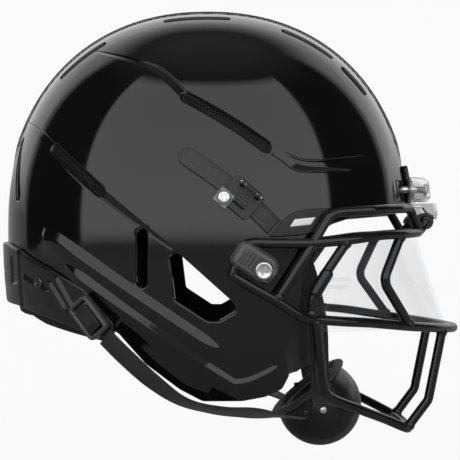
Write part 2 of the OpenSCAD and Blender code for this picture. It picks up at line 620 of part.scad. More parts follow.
function cup_normal(p) =
    unit([p[0] / (cup_r * cup_r), -cup_side(p) / (cup_b * cup_b), p[1] / (cup_r * cup_r)]);
// Rivet heads on the outside of the cup
module chin_rivets() color("silver") both_sides() for (p = [[0, 0], [-12, -2], [4, 16]])
    let (n = cup_normal(p)) translate(cup_c + [p[0], -cup_side(p), p[1]] + 0.3 * n)
        rotate([0, acos(n[2]), atan2(n[1], n[0])]) {
            cylinder(h = 0.8, r = 2.2, $fn = fine_fn);
            translate([0, 0, 0.8]) cylinder(h = 0.5, r1 = 2.2, r2 = 1.6, $fn = fine_fn);
        }

function strap_line(points, faces, n) = let (p = smooth(points, n), f = smooth(faces, n))
    [for (i = [0:len(p) - 1]) [p[i], unit(f[i]), strap_w / 2]];
upper_strap_path = [[61, -102, -8], [68, -98, -30], [73, -91, -55], [74.5, -83, -80],
    [77, -66, -100], [79, -48, -111]];
upper_strap_face = [[0.4, -0.9, 0], [0.4, -0.9, 0], [0.3, -0.95, -0.1], [0.2, -0.9, -0.4],
    [0, -0.75, -0.65], [0, -0.9, -0.4]];
lower_strap_path = [[-66, -108.5, -66], [-52, -112, -78], [-34, -112, -93], [-14, -111, -105],
    [8, -107, -110], [28, -95, -112], [47, -74, -117], [62, -50, -121]];
lower_strap_face = [[-0.3, -0.9, -0.3], [-0.2, -0.9, -0.4], [-0.1, -0.8, -0.6], [0, -0.5, -0.85],
    [0.2, -0.4, -0.9], [0.2, -0.5, -0.8], [-0.4, -0.7, -0.5], [-0.5, -0.8, -0.2]];
module upper_strap() ribbon(strap_line(upper_strap_path, upper_strap_face, 3), 0, strap_t);
module lower_strap() ribbon(strap_line(lower_strap_path, lower_strap_face, 3), 0, strap_t);
module upper_strap_right() color([0.1, 0.1, 0.1]) upper_strap();
module upper_strap_left() color([0.1, 0.1, 0.1]) mirror([0, 1, 0]) upper_strap();
module lower_strap_right() color([0.1, 0.1, 0.1]) lower_strap();
module lower_strap_left() color([0.1, 0.1, 0.1]) mirror([0, 1, 0]) lower_strap();

outer_shell();
vent_screens();
rear_bumper();
rear_bumper_screws();
nape_pad();
front_bumper();
front_clip_bodies();
front_clip_hooks();
front_clip_screws();
side_panel_right();
side_panel_left();
crown_pad();
front_pad();
back_pad();
side_pad_right();
side_pad_left();
jaw_pad_right();
jaw_pad_left();
jaw_pad_snaps();
cam_base_right();
cam_base_left();
cam_lever_right();
cam_lever_left();
cam_pins();
cam_screws();
cam_washers();
high_strap_right();
high_strap_left();
buckle_frame_right();
buckle_frame_left();
buckle_lever_right();
buckle_lever_left();
buckle_pins();
clip_receptacles();
face_mask();
side_clip_right();
side_clip_left();
visor();
visor_clips();
release_button_right();
release_button_left();
chin_cup();
chin_pad();
chin_rivets();
upper_strap_right();
upper_strap_left();
lower_strap_right();
lower_strap_left();
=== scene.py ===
"""American football helmet: the looks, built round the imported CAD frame.

Lengths are millimetres until a mesh is made, and Blender then gets metres.
+X is the way the wearer faces, +Y is the wearer's left, +Z is up.
"""
import json
import math
import bpy
import numpy as np
from mathutils import Matrix, Vector
from mathutils.geometry import delaunay_2d_cdt
from mathutils.kdtree import KDTree

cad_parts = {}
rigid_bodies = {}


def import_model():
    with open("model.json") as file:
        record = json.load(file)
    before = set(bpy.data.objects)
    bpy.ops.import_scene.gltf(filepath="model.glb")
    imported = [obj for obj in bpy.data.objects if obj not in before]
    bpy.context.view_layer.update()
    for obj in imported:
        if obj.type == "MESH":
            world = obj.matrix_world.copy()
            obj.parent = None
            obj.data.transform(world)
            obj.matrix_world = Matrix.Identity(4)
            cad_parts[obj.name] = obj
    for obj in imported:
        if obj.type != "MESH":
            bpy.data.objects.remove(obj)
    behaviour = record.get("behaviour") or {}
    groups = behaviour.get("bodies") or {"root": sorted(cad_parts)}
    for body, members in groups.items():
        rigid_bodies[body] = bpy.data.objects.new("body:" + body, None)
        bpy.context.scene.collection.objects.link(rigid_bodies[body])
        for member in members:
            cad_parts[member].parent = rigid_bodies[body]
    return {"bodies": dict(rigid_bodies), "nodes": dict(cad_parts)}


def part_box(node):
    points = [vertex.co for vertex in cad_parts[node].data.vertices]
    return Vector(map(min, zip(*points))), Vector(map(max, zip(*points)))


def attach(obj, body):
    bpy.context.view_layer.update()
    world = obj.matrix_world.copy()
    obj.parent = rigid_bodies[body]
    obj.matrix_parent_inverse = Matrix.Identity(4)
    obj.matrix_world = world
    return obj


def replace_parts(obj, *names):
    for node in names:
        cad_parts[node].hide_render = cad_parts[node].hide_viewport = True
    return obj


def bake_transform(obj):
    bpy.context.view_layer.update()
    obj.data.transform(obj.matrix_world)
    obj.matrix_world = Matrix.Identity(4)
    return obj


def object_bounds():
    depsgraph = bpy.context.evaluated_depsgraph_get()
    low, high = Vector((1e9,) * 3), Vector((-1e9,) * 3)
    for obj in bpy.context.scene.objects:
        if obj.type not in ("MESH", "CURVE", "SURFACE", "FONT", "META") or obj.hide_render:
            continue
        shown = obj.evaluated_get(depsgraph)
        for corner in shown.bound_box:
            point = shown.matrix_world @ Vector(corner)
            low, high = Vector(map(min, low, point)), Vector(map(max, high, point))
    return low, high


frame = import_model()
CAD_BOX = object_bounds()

MM = 0.001
RIGHT, LEFT = 1, -1          # the wearer's right side is at negative Y


def box_mm(node):
    low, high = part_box(node)
    return np.array(low) / MM, np.array(high) / MM


# ---- shell surface: |x/A|^N + |y/B|^N + |(z-BELT)/H|^N = 1 --------------------------------
SHELL_LOW, SHELL_HIGH = box_mm("outer_shell")
N = 2.2
BELT = 10.0
SPINE_STEP = 1.6
WALL = 3.8
A = float(round(-SHELL_LOW[0]))
B = float(round(SHELL_HIGH[1]))
CROWN = float(round(SHELL_HIGH[2] - BELT - SPINE_STEP))
SKIRT = 220.0
STRETCH = SKIRT / CROWN
SEAM = math.sqrt(2)          # radius of the middle plane on the map of the right half


def drop(z):
    return np.where(z > BELT, CROWN, SKIRT)


def share(v, half):
    return (np.abs(v) / half) ** N


def rest_of(a):
    return np.maximum(0, 1 - a) ** (1 / N)


def unit(v):
    v = np.asarray(v, float)
    return v / np.maximum(np.linalg.norm(v, axis=-1, keepdims=True), 1e-12)


def outward(q):
    q = np.asarray(q, float)
    v = q - [0, 0, BELT]
    half = np.stack([np.full(q.shape[:-1], A), np.full(q.shape[:-1], B), drop(q[..., 2])], -1)
    return unit(np.sign(v) * (np.abs(v) / half) ** (N - 1) / half)


def off(q, d):
    q = np.asarray(q, float)
    d = np.asarray(d, float)
    return q + (d[..., None] if d.ndim else d) * outward(q)


def right_at(x, z):
    x, z = np.broadcast_arrays(np.asarray(x, float), np.asarray(z, float))
    return np.stack([x, -B * rest_of(share(x, A) + share(z - BELT, drop(z))), z], -1)


def front_at(y, z):
    y, z = np.broadcast_arrays(np.asarray(y, float), np.asarray(z, float))
    return np.stack([A * rest_of(share(y, B) + share(z - BELT, drop(z))), y, z], -1)


def crown_at(x, y):
    x, y = np.broadcast_arrays(np.asarray(x, float), np.asarray(y, float))
    return np.stack([x, y, BELT + CROWN * rest_of(share(x, A) + share(y, B))], -1)


def compass_at(angle, z):
    angle, z = np.broadcast_arrays(np.radians(np.asarray(angle, float)), np.asarray(z, float))
    c, s = np.cos(angle), np.sin(angle)
    r = rest_of(share(z - BELT, drop(z))) / (share(c, A) + share(s, B)) ** (1 / N)
    return np.stack([r * c, r * s, z], -1)


def to_map(q):
    """Equal-area map of the right half of the shell: its centre is the ear, its rim the middle plane."""
    q = np.asarray(q, float)
    d = unit(np.stack([q[..., 0] / A, q[..., 1] / B, (q[..., 2] - BELT) / drop(q[..., 2])], -1))
    reach = np.sqrt(np.maximum(0, 2 + 2 * d[..., 1]))
    flat = np.hypot(d[..., 0], d[..., 2])
    w = np.stack([d[..., 0], d[..., 2]], -1) * (reach / np.maximum(flat, 1e-12))[..., None]
    w[..., 1] = np.where(w[..., 1] < 0, w[..., 1] * STRETCH, w[..., 1])
    return w


def from_map(w):
    w = np.array(w, float)
    w[..., 1] = np.where(w[..., 1] < 0, w[..., 1] / STRETCH, w[..., 1])
    rr = w[..., 0] ** 2 + w[..., 1] ** 2
    k = np.sqrt(np.maximum(0, 1 - rr / 4))
    d = np.stack([w[..., 0] * k, -(1 - rr / 2), w[..., 1] * k], -1)
    d = d / (np.abs(d) ** N).sum(-1, keepdims=True) ** (1 / N)
    height = np.where(d[..., 2] > 0, CROWN, SKIRT)
    return np.stack([A * d[..., 0], B * d[..., 1], BELT + height * d[..., 2]], -1)


def onto_shell(p):
    return from_map(to_map(p))


# ---- curves and outlines -----------------------------------------------------------------
def smooth(points, n):
    """Catmull-Rom curve through the points, n steps for each span."""
    p = np.asarray(points, float)
    m = len(p) - 1
    out = []
    for i in range(m):
        p0, p1, p2, p3 = p[max(0, i - 1)], p[i], p[i + 1], p[min(m, i + 2)]
        for k in range(n):
            t = k / n
            out.append(0.5 * (2 * p1 + (p2 - p0) * t + (2 * p0 - 5 * p1 + 4 * p2 - p3) * t * t
                              + (3 * p1 - p0 - 3 * p2 + p3) * t ** 3))
    return np.array(out + [p[m]])


def resample(points, step, closed=False):
    """Points at equal spacing, about step apart, along a polyline."""
    p = np.asarray(points, float)
    if closed:
        p = np.vstack([p, p[:1]])
    length = np.concatenate([[0], np.cumsum(np.linalg.norm(np.diff(p, axis=0), axis=1))])
    count = max(2, int(round(length[-1] / step)) + 1)
    at = np.linspace(0, length[-1], count)
    out = np.stack([np.interp(at, length, p[:, k]) for k in range(p.shape[1])], -1)
    return out[:-1] if closed else out


def rounded(points, radius, closed=True, steps=6):
    """The outline with an arc at each corner."""
    p = np.asarray(points, float)
    n = len(p)
    radii = np.broadcast_to(radius, (n,))
    out = []
    for i in range(n):
        if not closed and i in (0, n - 1):
            out.append(p[i])
            continue
        before, here, after = p[i - 1], p[i], p[(i + 1) % n]
        u, v = before - here, after - here
        lu, lv = np.linalg.norm(u), np.linalg.norm(v)
        u, v = u / lu, v / lv
        turn = math.acos(max(-1, min(1, float(u @ v))))
        if turn > math.pi - 0.02:
            out.append(here)
            continue
        cut = min(radii[i] / math.tan(turn / 2), 0.48 * lu, 0.48 * lv)
        r = cut * math.tan(turn / 2)
        middle = here + unit(u + v) * r / math.sin(turn / 2)
        start, end = here + u * cut - middle, here + v * cut - middle
        sweep = math.pi - turn
        for k in range(steps + 1):
            t = k / steps
            arc = math.sin((1 - t) * sweep) * start + math.sin(t * sweep) * end
            out.append(middle + arc / math.sin(sweep))
    return np.array(out)


def capsule(p, q, r):
    """Outline of a slot between two points of the plane."""
    steps = 10
    p, q = np.asarray(p, float), np.asarray(q, float)
    along = unit(q - p)
    side = np.array([-along[1], along[0]])
    ends = []
    for centre, sign in ((q, 1), (p, -1)):
        for k in range(steps + 1):
            a = math.pi * k / steps - math.pi / 2
            ends.append(centre + r * sign * (math.cos(a) * along + math.sin(a) * side))
    return np.array(ends)


def inside(w, polygon):
    """Which of the plane points w lie in the closed polygon."""
    x, y = w[:, 0], w[:, 1]
    hit = np.zeros(len(w), bool)
    for a, b in zip(polygon, np.roll(polygon, -1, axis=0)):
        if a[1] == b[1]:
            continue
        crosses = (a[1] > y) != (b[1] > y)
        hit ^= crosses & (x < (b[0] - a[0]) * (y - a[1]) / (b[1] - a[1]) + a[0])
    return hit


def ramp(v, low, high):
    t = np.clip((np.asarray(v, float) - low) / (high - low), 0, 1)
    return t * t * (3 - 2 * t)


# ---- meshes ------------------------------------------------------------------------------
def flip(points):
    return np.asarray(points, float) * [1, -1, 1]


def reverse(faces):
    return [tuple(reversed(f)) for f in faces]


def piece(name, points, faces, material, slot, body="shell", side=RIGHT):
    """A mesh object from millimetre points; side LEFT mirrors it to the wearer's left."""
    points = np.asarray(points, float)
    if side == LEFT:
        points = flip(points)
        faces = reverse(faces)
    mesh = bpy.data.meshes.new(name)
    mesh.from_pydata((points * MM).tolist(), [], [tuple(int(i) for i in f) for f in faces])
    mesh.validate()
    mesh.polygons.foreach_set("use_smooth", [True] * len(mesh.polygons))
    obj = bpy.data.objects.new(name, mesh)
    bpy.context.scene.collection.objects.link(obj)
    mesh.materials.append(material)
    if body:
        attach(obj, body)
    return obj


def bevel(obj, width, segments=3, angle=35):
    mod = obj.modifiers.new("Edge", "BEVEL")
    mod.width = width * MM
    mod.segments = segments
    mod.limit_method = "ANGLE"
    mod.angle_limit = math.radians(angle)
    mod.harden_normals = True
    return obj


def apply_modifiers(obj):
    bpy.context.view_layer.update()
    graph = bpy.context.evaluated_depsgraph_get()
    mesh = bpy.data.meshes.new_from_object(obj.evaluated_get(graph))
    obj.modifiers.clear()
    obj.data = mesh
    return obj


def tree_of(points):
    tree = KDTree(len(points))
    for i, p in enumerate(points):
        tree.insert(p, i)
    tree.balance()
    return tree


def gaps(points, tree):
    """Distance of each point to the nearest point of the tree."""
    return np.array([tree.find(p)[2] for p in points])


class Build:
    """Collects several closed forms, each a pair of points and faces, into one piece."""

    def __init__(self):
        self.points = []
        self.faces = []

    def add(self, form, move=None):
        """Takes in a form; move is a function that places its points."""
        points, faces = form
        points = np.asarray(points, float)
        base = len(self.points)
        self.points += [tuple(p) for p in (move(points) if move else points)]
        self.faces += [tuple(int(i) + base for i in f) for f in faces]
        return self

    def add_pair(self, form):
        """Takes in a form and its mirror image."""
        return self.add(form).add((flip(form[0]), reverse(form[1])))

    def piece(self, name, *args, **more):
        return piece(name, self.points, self.faces, *args, **more)


def loft(rings, cap=True):
    """Skin over closed rings of equal length; caps make it a solid."""
    rings = [np.asarray(r, float) for r in rings]
    n = len(rings[0])
    faces = []
    for i in range(len(rings) - 1):
        for j in range(n):
            k = (j + 1) % n
            faces.append((i * n + j, i * n + k, (i + 1) * n + k, (i + 1) * n + j))
    if cap:
        last = (len(rings) - 1) * n
        faces.append(tuple(range(n - 1, -1, -1)))
        faces.append(tuple(last + j for j in range(n)))
    return np.vstack(rings), faces


def tube(path, radius, sides=16):
    """Round bar with domed ends along a path of points."""
    p = np.asarray(path, float)
    tangents = unit(np.gradient(p, axis=0))
    normal = unit(np.cross(tangents[0], [0.3, 0.5, 0.8]))
    angles = np.arange(sides) * 2 * math.pi / sides
    dome = np.radians([12, 32, 52, 72])

    def ring(centre, t, r):
        b = np.cross(t, normal)
        return centre + r * (np.cos(angles)[:, None] * normal + np.sin(angles)[:, None] * b)

    rings = [ring(p[0] - tangents[0] * radius * math.cos(a), tangents[0], radius * math.sin(a)) for a in dome]
    for here, run in zip(p, tangents):
        normal = unit(normal - run * (normal @ run))
        rings.append(ring(here, run, radius))
    rings += [ring(p[-1] + run * radius * math.cos(a), run, radius * math.sin(a)) for a in dome[::-1]]
    return loft(rings)


def lathe(profile, sides=48):
    """Solid of revolution about Z from (radius, height) points; both end radii are above zero."""
    angles = np.arange(sides) * 2 * math.pi / sides
    circle = np.stack([np.cos(angles), np.sin(angles)], -1)
    return loft([np.column_stack([r * circle, np.full(sides, h)]) for r, h in profile])


def slab(outline, low, high):
    """Right prism on a plane outline that runs anticlockwise."""
    return loft([np.column_stack([outline, np.full(len(outline), z)]) for z in (low, high)])


def prism(profile, levels, axis=1):
    """Right prism: a plane profile repeated at levels along an axis, 0 for X or 1 for Y."""
    profile = np.asarray(profile, float)
    return loft([np.insert(profile, axis, level, axis=1) for level in levels])


def rectangle(x, y, r, steps=5, centre=(0, 0)):
    """Plane outline of a rounded rectangle, anticlockwise."""
    corners = [(x / 2, -y / 2), (x / 2, y / 2), (-x / 2, y / 2), (-x / 2, -y / 2)]
    return rounded(corners, r, steps=steps) + centre


def grid_faces(rows, cols):
    """Faces of a closed sheet whose points are two grids of rows by cols, the outer one first."""
    m = rows * cols
    faces = []
    for i in range(rows - 1):
        for j in range(cols - 1):
            a = i * cols + j
            faces.append((a, a + cols, a + cols + 1, a + 1))
            faces.append((m + a, m + a + 1, m + a + cols + 1, m + a + cols))
    index = np.arange(m).reshape(rows, cols)
    loop = [*index[0], *index[1:, -1], *index[-1, -2::-1], *index[-2:0:-1, 0]]
    return faces + [(a, b, m + b, m + a) for a, b in zip(loop, loop[1:] + loop[:1])]


def seat(points, q, lift=0.0, spin=0.0):
    """Moves local points onto the shell at q: +Z outward and +X forward along the surface, turned by spin."""
    n = outward(q)
    f = unit(np.array([1.0, 0, 0]) - n * n[0])
    u = np.cross(n, f)
    a = math.radians(spin)
    c, s = math.cos(a), math.sin(a)
    p = np.asarray(points, float)
    x, y = c * p[..., 0] - s * p[..., 1], s * p[..., 0] + c * p[..., 1]
    return q + x[..., None] * f + y[..., None] * u + (p[..., 2] + lift)[..., None] * n


def cut(obj, points, faces, side):
    """Takes a closed form away from a piece."""
    tool = piece("tool", points, faces, obj.data.materials[0], None, body=None, side=side)
    mod = obj.modifiers.new("Cut", "BOOLEAN")
    mod.operation = "DIFFERENCE"
    mod.solver = "MANIFOLD"
    mod.object = tool
    apply_modifiers(obj)
    bpy.data.objects.remove(tool)
    return obj


# ---- materials ---------------------------------------------------------------------------
class Nodes:
    """A node tree that starts empty."""

    def __init__(self, tree):
        self.tree = tree
        tree.nodes.clear()

    def add(self, kind, **settings):
        node = self.tree.nodes.new(kind)
        for key, value in settings.items():
            setattr(node, key, value)
        return node

    def join(self, a, b):
        self.tree.links.new(a, b)

    def put(self, socket, value):
        if isinstance(value, bpy.types.NodeSocket):
            self.join(value, socket)
        else:
            socket.default_value = value

    def maths(self, operation, a, b=0.0):
        node = self.add("ShaderNodeMath", operation=operation)
        self.put(node.inputs[0], a)
        self.put(node.inputs[1], b)
        return node.outputs[0]

    def spread(self, value, low, high, start=0.3, end=0.7):
        """Value between start and end carried over to the range from low to high, and held there."""
        node = self.add("ShaderNodeMapRange")
        self.join(value, node.inputs["Value"])
        for key, number in (("From Min", start), ("From Max", end), ("To Min", low), ("To Max", high)):
            node.inputs[key].default_value = number
        return node.outputs["Result"]


class Shader(Nodes):
    """A procedural material: a Principled surface fed by noise in the object's own millimetres."""

    def __init__(self, name):
        self.mat = bpy.data.materials.new(name)
        self.mat.use_nodes = True
        super().__init__(self.mat.node_tree)
        self.out = self.add("ShaderNodeOutputMaterial")
        self.surface = self.add("ShaderNodeBsdfPrincipled")
        self.join(self.surface.outputs[0], self.out.inputs[0])
        place = self.add("ShaderNodeTexCoord")
        scale = self.add("ShaderNodeVectorMath", operation="SCALE")
        scale.inputs["Scale"].default_value = 1 / MM
        self.join(place.outputs["Object"], scale.inputs[0])
        self.place = scale.outputs[0]
        self.height = None

    def noise(self, size, detail=3.0, stretch=None):
        """Noise with features about size millimetres across, centred on 0.5."""
        node = self.add("ShaderNodeTexNoise")
        node.inputs["Scale"].default_value = 1 / size
        node.inputs["Detail"].default_value = detail
        place = self.place
        if stretch:
            pull = self.add("ShaderNodeVectorMath", operation="MULTIPLY")
            self.join(place, pull.inputs[0])
            pull.inputs[1].default_value = stretch
            place = pull.outputs[0]
        self.join(place, node.inputs["Vector"])
        return node.outputs["Fac"]

    def cells(self, size, feature="F1"):
        node = self.add("ShaderNodeTexVoronoi", feature=feature)
        node.inputs["Scale"].default_value = 1 / size
        self.join(self.place, node.inputs["Vector"])
        return node.outputs["Distance"]

    def blend(self, value, first, second):
        node = self.add("ShaderNodeMix", data_type="RGBA")
        self.put(node.inputs["Factor"], value)
        self.put(node.inputs["A"], (*first, 1) if isinstance(first, tuple) else first)
        self.put(node.inputs["B"], (*second, 1) if isinstance(second, tuple) else second)
        return node.outputs["Result"]

    def edges(self, radius, strength):
        """0 on flats, up to strength on edges sharper than radius millimetres."""
        soft = self.add("ShaderNodeBevel", samples=4)
        soft.inputs["Radius"].default_value = radius * MM
        hard = self.add("ShaderNodeNewGeometry")
        dot = self.add("ShaderNodeVectorMath", operation="DOT_PRODUCT")
        self.join(soft.outputs[0], dot.inputs[0])
        self.join(hard.outputs["Normal"], dot.inputs[1])
        return self.spread(dot.outputs["Value"], strength, 0.0, 0.75, 0.99)

    def bump(self, value, depth):
        """Adds relief; depth is in millimetres."""
        node = self.add("ShaderNodeBump")
        node.inputs["Strength"].default_value = 1.0
        node.inputs["Distance"].default_value = depth * MM
        self.join(value, node.inputs["Height"])
        if self.height is not None:
            self.join(self.height, node.inputs["Normal"])
        self.height = node.outputs[0]
        return self

    def finish(self, colour, rough, **more):
        s = self.surface.inputs
        self.put(s["Base Color"], (*colour, 1) if isinstance(colour, tuple) else colour)
        self.put(s["Roughness"], rough)
        for key, value in more.items():
            self.put(s[key.replace("_", " ")], value)
        if self.height is not None:
            self.join(self.height, s["Normal"])
        return self.mat


def scaled(tone, k, lift=0.0):
    return tuple(min(1, c * k + lift) for c in tone)


def moulded(name, tone, rough, grain=0.7, depth=0.02, wear=0.35, sheen=0.5):
    """Moulded plastic: fine grain, slightly uneven gloss, edges rubbed a little lighter."""
    s = Shader(name)
    cloud = s.noise(26)
    colour = s.blend(cloud, scaled(tone, 0.8), scaled(tone, 1.25))
    colour = s.blend(s.edges(0.5, wear), colour, scaled(tone, 2.2, 0.03))
    s.bump(s.noise(grain, 2), depth)
    return s.finish(colour, s.spread(s.noise(9), rough - 0.05, rough + 0.06), Specular_IOR_Level=sheen)


def gloss_paint():
    """Deep black gloss with a faint orange peel, fine dust and soft polishing haze."""
    s = Shader("shell_gloss")
    colour = s.blend(s.noise(60), (0.0022, 0.0022, 0.0025), (0.0042, 0.0042, 0.0048))
    s.bump(s.noise(6.5, 1), 0.003)
    haze = s.spread(s.noise(34, 4), 0.05, 0.09)
    dust = s.spread(s.noise(0.35, 1), 0.0, 0.10, 0.62, 0.74)
    return s.finish(colour, s.maths("ADD", haze, dust), Coat_Weight=0.3, Coat_Roughness=0.02,
                    Specular_IOR_Level=0.45)


def metal(name, tone, rough):
    """Bright metal with fine scratches across it."""
    s = Shader(name)
    scratches = s.noise(0.5, 4, (1, 1, 6))
    s.bump(scratches, 0.006)
    colour = s.blend(s.noise(5), scaled(tone, 0.82), tone)
    return s.finish(colour, s.spread(scratches, rough - 0.04, rough + 0.08), Metallic=1.0)


def clear_plastic(name="clear_plastic", clear=1.0):
    """Water-clear moulding with slight flow lines; clear below 1 tints it grey."""
    s = Shader(name)
    s.bump(s.noise(7, 2), 0.03)
    tint = s.blend(s.noise(9), scaled((0.86, 0.88, 0.90), clear), scaled((0.97, 0.98, 1.0), clear))
    return s.finish(tint, s.spread(s.noise(3), 0.02, 0.09), Transmission_Weight=0.92, IOR=1.45)


def thin_clear():
    """Thin clear sheet: see-through, with window-like reflections and faint wipe marks."""
    s = Shader("visor_clear")
    tree = s.tree
    tree.nodes.remove(s.surface)
    see = s.add("ShaderNodeBsdfTransparent")
    s.put(see.inputs[0], s.blend(s.noise(40), (0.975, 0.98, 0.985), (0.99, 0.993, 0.996)))
    shine = s.add("ShaderNodeBsdfGlossy")
    s.put(shine.inputs["Color"], (1, 1, 1, 1))
    s.put(shine.inputs["Roughness"], s.spread(s.noise(18, 4, (1, 1, 3)), 0.02, 0.10))
    edge = s.add("ShaderNodeFresnel")
    edge.inputs["IOR"].default_value = 1.42
    ripple = s.add("ShaderNodeBump")
    ripple.inputs["Distance"].default_value = 0.01 * MM
    s.join(s.noise(25, 1), ripple.inputs["Height"])
    s.join(ripple.outputs[0], shine.inputs["Normal"])
    mix = s.add("ShaderNodeMixShader")
    s.join(s.maths("MINIMUM", edge.outputs[0], 0.055), mix.inputs[0])
    s.join(see.outputs[0], mix.inputs[1])
    s.join(shine.outputs[0], mix.inputs[2])
    s.join(mix.outputs[0], s.out.inputs[0])
    return s.mat


def woven(name, tone):
    """Webbing: diagonal twill ribs, fibre fuzz and uneven wear, with painted shade in the grooves and a
    painted highlight on the ribs.
    """
    pitch, depth = 1.1, 0.12
    s = Shader(name)
    ribs = []
    for turn in ((1, 1, 1), (1, -1, 0.6)):
        pull = s.add("ShaderNodeVectorMath", operation="DOT_PRODUCT")
        s.join(s.place, pull.inputs[0])
        pull.inputs[1].default_value = turn
        wave = s.maths("SINE", s.maths("MULTIPLY", pull.outputs["Value"], 2 * math.pi / pitch / 1.6))
        ribs.append(wave)
    weave = s.spread(s.maths("MULTIPLY", ribs[0], ribs[1]), 0, 1, -1, 1)
    s.bump(weave, depth).bump(s.noise(0.5, 3), 0.05)
    # painted shade and highlight: the colour follows the rib height, darker in the grooves and lighter on the
    # ribs' tops
    shade = s.blend(weave, scaled(tone, 0.6), scaled(tone, 1.5))
    shade = s.blend(s.spread(s.noise(14), 0, 0.4), shade, scaled(tone, 1.6, 0.01))
    return s.finish(shade, s.spread(s.noise(2), 0.7, 0.9), Sheen_Weight=0.3, Sheen_Roughness=0.4)


def vinyl(name, tone, rough=0.55):
    """Soft coated fabric over foam: leather-like grain, sheen and creases."""
    s = Shader(name)
    grain = s.cells(1.1, "SMOOTH_F1")
    s.bump(grain, 0.08).bump(s.noise(12, 3), 0.5)
    shade = s.blend(grain, scaled(tone, 1.3), scaled(tone, 0.7))
    shade = s.blend(s.spread(s.noise(30), 0, 0.5), shade, scaled(tone, 1.5))
    return s.finish(shade, s.spread(s.noise(3), rough - 0.08, rough + 0.1), Sheen_Weight=0.15)


def coated_wire():
    """Dip-coated bar: thick black gloss with small sags and rub marks."""
    s = Shader("mask_wire")
    colour = s.blend(s.noise(20), (0.004, 0.004, 0.0045), (0.010, 0.010, 0.011))
    s.bump(s.noise(9, 2), 0.10).bump(s.noise(0.8, 2), 0.006)
    return s.finish(colour, s.spread(s.noise(6), 0.10, 0.20), Coat_Weight=0.2, Coat_Roughness=0.06,
                    Specular_IOR_Level=0.4)


M = {
    "shell_gloss": gloss_paint(),
    "screen_mesh": moulded("screen_mesh", (0.006, 0.006, 0.006), 0.4, wear=0.3, sheen=0.35),
    "bumper_satin": moulded("bumper_satin", (0.009, 0.009, 0.010), 0.22, depth=0.02, sheen=0.5),
    "nape_rubber": moulded("nape_rubber", (0.014, 0.014, 0.015), 0.55, grain=0.5, depth=0.04, sheen=0.3),
    "steel": metal("steel", (0.78, 0.79, 0.81), 0.16),
    "clear_plastic": clear_plastic(),
    "cam_plastic": moulded("cam_plastic", (0.014, 0.014, 0.015), 0.3, wear=0.4, sheen=0.45),
    "panel_satin": moulded("panel_satin", (0.012, 0.012, 0.013), 0.36, sheen=0.45),
    "pad_vinyl": vinyl("pad_vinyl", (0.016, 0.016, 0.017)),
    "strap_coated": vinyl("strap_coated", (0.016, 0.016, 0.017), 0.42),
    "strap_web": woven("strap_web", (0.011, 0.011, 0.012)),
    "mask_wire": coated_wire(),
    "visor_clear": thin_clear(),
    "cup_plastic": moulded("cup_plastic", (0.012, 0.012, 0.013), 0.3, wear=0.3, sheen=0.42),
    "cup_foam": vinyl("cup_foam", (0.03, 0.03, 0.031), 0.65),
    "mark_white": moulded("mark_white", (0.78, 0.78, 0.78), 0.35, wear=0.1),
    "rubber_dark": moulded("rubber_dark", (0.011, 0.011, 0.011), 0.5),
    "clip_tint": clear_plastic("clip_tint", 0.7),
    "buckle_satin": moulded("buckle_satin", (0.05, 0.05, 0.051), 0.3, wear=0.3),
    "steel_dark": metal("steel_dark", (0.11, 0.11, 0.12), 0.3),
}


# ---- outer shell -------------------------------------------------------------------------
SPINE_HALF = 21.5
EDGE_R = 1.7                 # rounding of the shell's outer edge
RINGS = (0.0, 0.12, 0.45, 1.0, EDGE_R, 2.9)
FINE, COARSE = 1.7, 3.4      # point spacing near and away from the moulded lines
OVERRUN = 30                 # how far a feature's line is carried on past its ends


def side_line(points):
    """Curve on the right side through side-view points, carried on past both ends."""
    p = smooth(points, 10)
    q = right_at(p[:, 0], p[:, 1])
    return np.vstack([q[0] + OVERRUN * unit(q[0] - q[1]), q, q[-1] + OVERRUN * unit(q[-1] - q[-2])])


def measure(q, line):
    """For surface points: distance above the line, distance along it, and its length."""
    a, b = line[:-1], line[1:]
    run = b - a
    span = np.linalg.norm(run, axis=1)
    start = np.concatenate([[0], np.cumsum(span)])[:-1] - OVERRUN
    best = np.full(len(q), np.inf)
    above = np.zeros(len(q))
    along = np.zeros(len(q))
    normal = outward(q)
    for i in range(len(a)):
        v = q - a[i]
        t = np.clip((v @ run[i]) / span[i] ** 2, 0, 1)
        d = v - t[:, None] * run[i]
        far = np.linalg.norm(d, axis=1)
        near = far < best
        sign = np.sign((np.cross(normal, run[i]) * d).sum(-1))
        best = np.where(near, far, best)
        above = np.where(near, sign * far, above)
        along = np.where(near, start[i] + t * span[i], along)
    return above, along, start[-1] + span[-1] - OVERRUN


def rows_beside(line, offsets):
    """Rows of surface points at given distances above a line; each offset is a function of along."""
    p = resample(line, 1.3)
    along = np.concatenate([[0], np.cumsum(np.linalg.norm(np.diff(p, axis=0), axis=1))]) - OVERRUN
    length = along[-1] - OVERRUN
    keep = (along > -1) & (along < length + 1)
    side = np.cross(outward(p), unit(np.gradient(p, axis=0)))
    shifts = [np.asarray(f(along, length))[..., None] for f in offsets]
    return np.vstack([onto_shell(p + shift * side)[keep] for shift in shifts])


